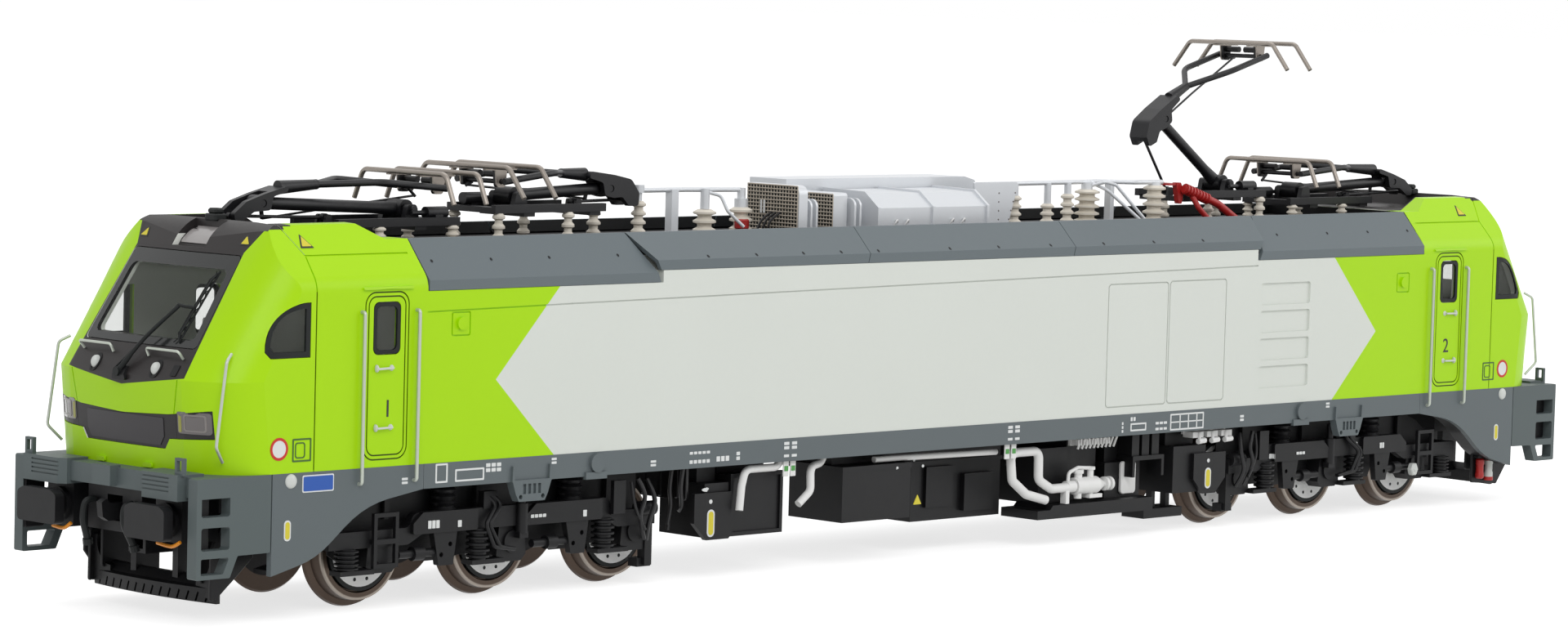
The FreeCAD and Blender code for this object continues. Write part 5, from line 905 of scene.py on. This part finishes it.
# the marks' middles, lengths and heights on the two sides of a bogie
MARKS = {
    True: ((-13.5, 9.15, 1.9, 0.95), (-9.4, 9.0, 0.7, 0.8), (3.3, 9.15, 2.6, 0.4), (11.0, 9.0, 0.7, 0.8)),
    False: ((14.1, 8.9, 0.7, 0.7), (8.0, 9.1, 2.0, 0.4), (-5.6, 9.6, 0.6, 0.7), (-10.9, 9.25, 1.1, 0.8))}
for end, number in ENDS:
    centre, turn = end * PIVOT, -end
    screens, springs, hoses, marks = Form(), Form(), Form(), Form()
    for side in SIDES:
        # the screens: partly the bogies' dark brake gear, partly painted shade over the wheels' tops
        screens.panel([(centre + turn * a, z) for a, z in SHADE_SCREEN], side, 11.42, 11.6, 0.04)
        for a, head in ((-18.5, 13.0), (-4.0, 14.4), (4.0, 14.4), (17.5, 14.4)):
            x = centre + turn * a
            screens.panel(box_loop((x - 0.4, 9.8), (x + 0.4, head), 0.15, 2, 2), side, 11.55, 12.3, 0.08)
        for a in (-10.3, 10.3):
            line = [(centre + turn * a, side * 12.95, 10.6 + step * 0.4) for step in range(11)]
            springs.tube(line, [1.3 if step % 2 else 1.62 for step in range(11)], 20)
        for radius, line in HOSES:
            hoses.tube(curve([(centre + turn * a, side * y, z) for a, y, z in line], 5), radius, 8)
        frame_side = surface("y", side, f"bogie_frame_{number}")
        for a, z, length, height in MARKS[side == end]:
            low = (centre + turn * a - length / 2, z - height / 2)
            bars(marks, low, (length, height), (0.7, 2), (0.12, 0), 0.06, frame_side, 0.06)
    for form, name, key in ((screens, "screens", "black"), (springs, "springs", "hose"),
                            (hoses, "hoses", "hose"), (marks, "marks", "print")):
        form.done(f"bogie_{name}_{number}", key, f"bogie_{number}")
    form, side = Form(), -end
    form.panel(round_loop((end * 97.4, 5.4), 0.85, 1.0, 6), side, 15.0, 15.9, 0.15)
    form.dome((end * 97.4, side * 15.9, 5.4), (0, side, 0), (0.3, 0.3), 0.15, 12, 3)
    form.done(f"axle_caps_{number}", "pale", f"bogie_{number}")

# black liners behind the skirts' swept edges and plates beside the ploughs
form = Form()
sweep = curve([(-119.1, 5.0), (-115.6, 5.8), (-112.2, 7.2), (-109.0, 9.6), (-106.4, 11.5), (-103.6, 12.8),
               (-99.6, 13.6), (-95.2, 13.9)], 4)
for side in SIDES:
    corners = ((13.7, 0.05), (16.2, 0.05), (16.2, 0.55), (13.7, 0.55))
    form.solid([[(x, side * y, z + rise) for y, rise in corners] for x, z in sweep])
    form.panel(rounded([(-121.4, 11.8), (-123.6, 7.8), (-123.6, 1.8), (-122.8, 1.9), (-119.9, 4.3),
                        (-117.4, 6.5), (-117.2, 11.8)], 0.2, 3, 3), side, 11.1, 11.55)
    # brackets between the plough and the beam, and liners behind the two upper steps
    form.panel(box_loop((-123.4, 3.6), (-118.6, 11.6), 0.4), side, 9.0, 9.4)
    form.panel(box_loop((-130.0, 8.1), (-127.2, 14.7), 0.3), side, 15.2, 15.5)
    form.plate(box_loop((side * 15.8 - 0.5, 8.1), (side * 15.8 + 0.5, 14.7), 0.2), "x", -130.1, -129.8, 0.05)
    for x in (-120.6, -118.6):
        form.panel(box_loop((x - 0.15, 6.8), (x + 0.15, 11.4), 0.1, 2, 2), side, 11.5, 11.8, 0.05)
form.pair("arch_liners", "black")
# a side plate with a red and a pale cylinder at one corner of each cab
reds, pales, plates = Form(), Form(), Form()
for end, side in ((1, -1), (-1, 1)):
    loop = [(end * x, z) for x, z in ((113.4, 9.2), (113.6, 2.4), (119.8, 1.9), (122.3, 5.0), (122.3, 9.2))]
    plates.panel(rounded(loop, 0.25, 3, 3), side, 13.85, 14.25)
    for x, form in ((114.7, reds), (116.9, pales)):
        line = [(end * x, side * 14.85, z) for z in (3.0, 3.2, 3.8, 4.0, 5.0, 5.2, 5.8, 6.0)]
        form.tube(line, [0.45, 0.66, 0.66, 0.58, 0.58, 0.66, 0.66, 0.45], 16)
    for foot in (2.65, 5.6):
        reds.tube([(end * 116.9, side * 14.85, foot), (end * 116.9, side * 14.85, foot + 0.55)], 0.7, 14)
    plates.panel(box_loop((end * 115.8 - 2.0, 6.1), (end * 115.8 + 2.0, 6.5), 0.1), side, 14.1, 15.3)
reds.done("plough_cylinders_red", "red")
pales.done("plough_cylinders_pale", "pale")
plates.done("plough_side_plates", "black")

# tags, a plain plate, ribs and loops under the sills
form, fields = Form(), Form()
for side in SIDES:
    for x in (-35.0, -33.75, 6.95, 8.25):
        form.panel(box_loop((x - 0.48, 11.75), (x + 0.48, 14.2), 0.08, 2, 2), side, 16.35, 16.55, 0.04)
        fields.panel(box_loop((x - 0.34, 12.45), (x + 0.34, 13.1), 0.05, 2, 2), side, 16.5, 16.62, 0.03)
    form.panel(box_loop((34.0, 5.2), (37.1, 9.7), 0.5), side, 13.0, 13.5)
    for step in range(10):
        x = 23.3 + step * 0.82
        form.tube([(x, side * 14.7, 12.1), (x + 0.25, side * 15.1, 13.5)], 0.17, 8)
    for x in (47.6, 50.5, 53.4):
        form.tube([(x, side * 15.7, 12.0), (x + 1.5, side * 15.7, 12.1)], 0.4, 8)
        form.tube([(x + 0.3, side * 15.7, 12.0), (x + 0.3, side * 15.7, 13.3)], 0.22, 8)
form.done("underfloor_tags", "white")
fields.done("underfloor_tag_fields", "leaf")

# a ribbed bulkhead and hoses between the first bogie and the tanks
form = Form()
form.plate(box_loop((-14.6, 9.4), (14.6, 15.3), 0.4), "x", -50.75, -50.3, 0.1)
for y in range(-13, 14, 3):
    form.plate(box_loop((y - 0.25, 9.6), (y + 0.25, 15.2), 0.1, 2, 2), "x", -51.0, -50.7, 0.1)
for side in SIDES:
    for start, drop, reach in ((-53.9, 6.6, 0.0), (-53.2, 5.8, 0.7), (-52.5, 8.2, -0.5)):
        line = ((0, 15.4, 14.6), (-0.3, 15.2, 11.4), (0.5, 14.6, 9.0), (0.2, 14.4, drop))
        form.tube(curve([(start + a, side * (y - reach), z) for a, y, z in line], 5), 0.26, 8)
form.done("floor_hoses", "hose")


# Floor, light and camera

def backdrop_rays(tree):
    """1 for the camera, glossy and transmission rays, which show the pale backdrop."""
    path = tree.nodes.new("ShaderNodeLightPath")
    seen = path.outputs["Is Camera Ray"]
    for kind in ("Is Glossy Ray", "Is Transmission Ray"):
        most = tree.nodes.new("ShaderNodeMath")
        most.operation = "MAXIMUM"
        tree.links.new(seen, most.inputs[0])
        tree.links.new(path.outputs[kind], most.inputs[1])
        seen = most.outputs[0]
    return seen


def floor_paint():
    """Pale, with some glow of its own where the backdrop is seen."""
    n = Nodes("floor", 0.8)
    n.shader.inputs["Base Color"].default_value = (0.78, 0.78, 0.77, 1)
    n.shader.inputs["Roughness"].default_value = n.roughness
    shown = n.add("ShaderNodeBsdfDiffuse")
    shown.inputs[0].default_value = (0.6, 0.6, 0.6, 1)
    glow = n.add("ShaderNodeEmission")
    glow.inputs["Strength"].default_value = 0.74
    whole = n.add("ShaderNodeAddShader")
    n.link(shown.outputs[0], whole.inputs[0])
    n.link(glow.outputs[0], whole.inputs[1])
    return n.show(backdrop_rays(n.tree), n.shader.outputs[0], whole.outputs[0])


bpy.ops.mesh.primitive_plane_add(size=12, location=(0, 0, 0))
floor = bpy.context.object
floor.name = "floor"
floor.data.materials.append(floor_paint())

world = bpy.data.worlds.new("studio")
bpy.context.scene.world = world
world.use_nodes = True
tree = world.node_tree
background = tree.nodes["Background"]
background.inputs["Color"].default_value = (1, 1, 1, 1)
strength = tree.nodes.new("ShaderNodeMapRange")
strength.inputs["To Min"].default_value = 0.5
strength.inputs["To Max"].default_value = 1.0
tree.links.new(backdrop_rays(tree), strength.inputs["Value"])
tree.links.new(strength.outputs[0], background.inputs["Strength"])


def lamp(name, place, target, size, watts):
    data = bpy.data.lights.new(name, "AREA")
    data.shape = "RECTANGLE"
    data.size, data.size_y = size
    data.energy = watts
    light = bpy.data.objects.new(name, data)
    light.location = place
    light.rotation_euler = (Vector(target) - Vector(place)).to_track_quat("-Z", "Y").to_euler()
    bpy.context.scene.collection.objects.link(light)


lamp("key", (-0.55, -0.75, 0.75), (0, 0, 0.02), (0.8, 0.5), 4.7)
lamp("fill", (0.75, -0.6, 0.45), (0, 0, 0.02), (0.7, 0.5), 2.0)
lamp("top", (0.1, 0.25, 0.9), (0, 0, 0.03), (1.0, 0.6), 2.6)

# the camera, solved from the photograph: its focal length and optical centre in the frame's pixels
WIDE, TALL, FOCAL, OPTICAL_X, OPTICAL_Y = 1920, 788, 5899.15, 958.60, 400.03
camera_data = bpy.data.cameras.new("camera")
camera_data.sensor_width = 36
camera_data.lens = FOCAL * camera_data.sensor_width / WIDE
camera_data.shift_x = (WIDE / 2 - OPTICAL_X) / WIDE
camera_data.shift_y = (OPTICAL_Y - TALL / 2) / WIDE
camera_data.clip_start = 0.01
camera = bpy.data.objects.new("camera", camera_data)
bpy.context.scene.collection.objects.link(camera)
yaw, pitch, roll = 0.77590, 0.0735, 0.0275
forward = Vector((math.cos(pitch) * math.cos(yaw), math.cos(pitch) * math.sin(yaw), -math.sin(pitch)))
right = forward.cross(Vector((0, 0, 1))).normalized()
up = right.cross(forward)
turned_right = math.cos(roll) * right + math.sin(roll) * up
turned_up = -math.sin(roll) * right + math.cos(roll) * up
camera.matrix_world = Matrix.Translation(at(-469.466, -441.553, 75.499)) @ Matrix(
    (turned_right, turned_up, -forward)).transposed().to_4x4()
bpy.context.scene.camera = camera
bpy.context.scene.view_settings.view_transform = "Standard"
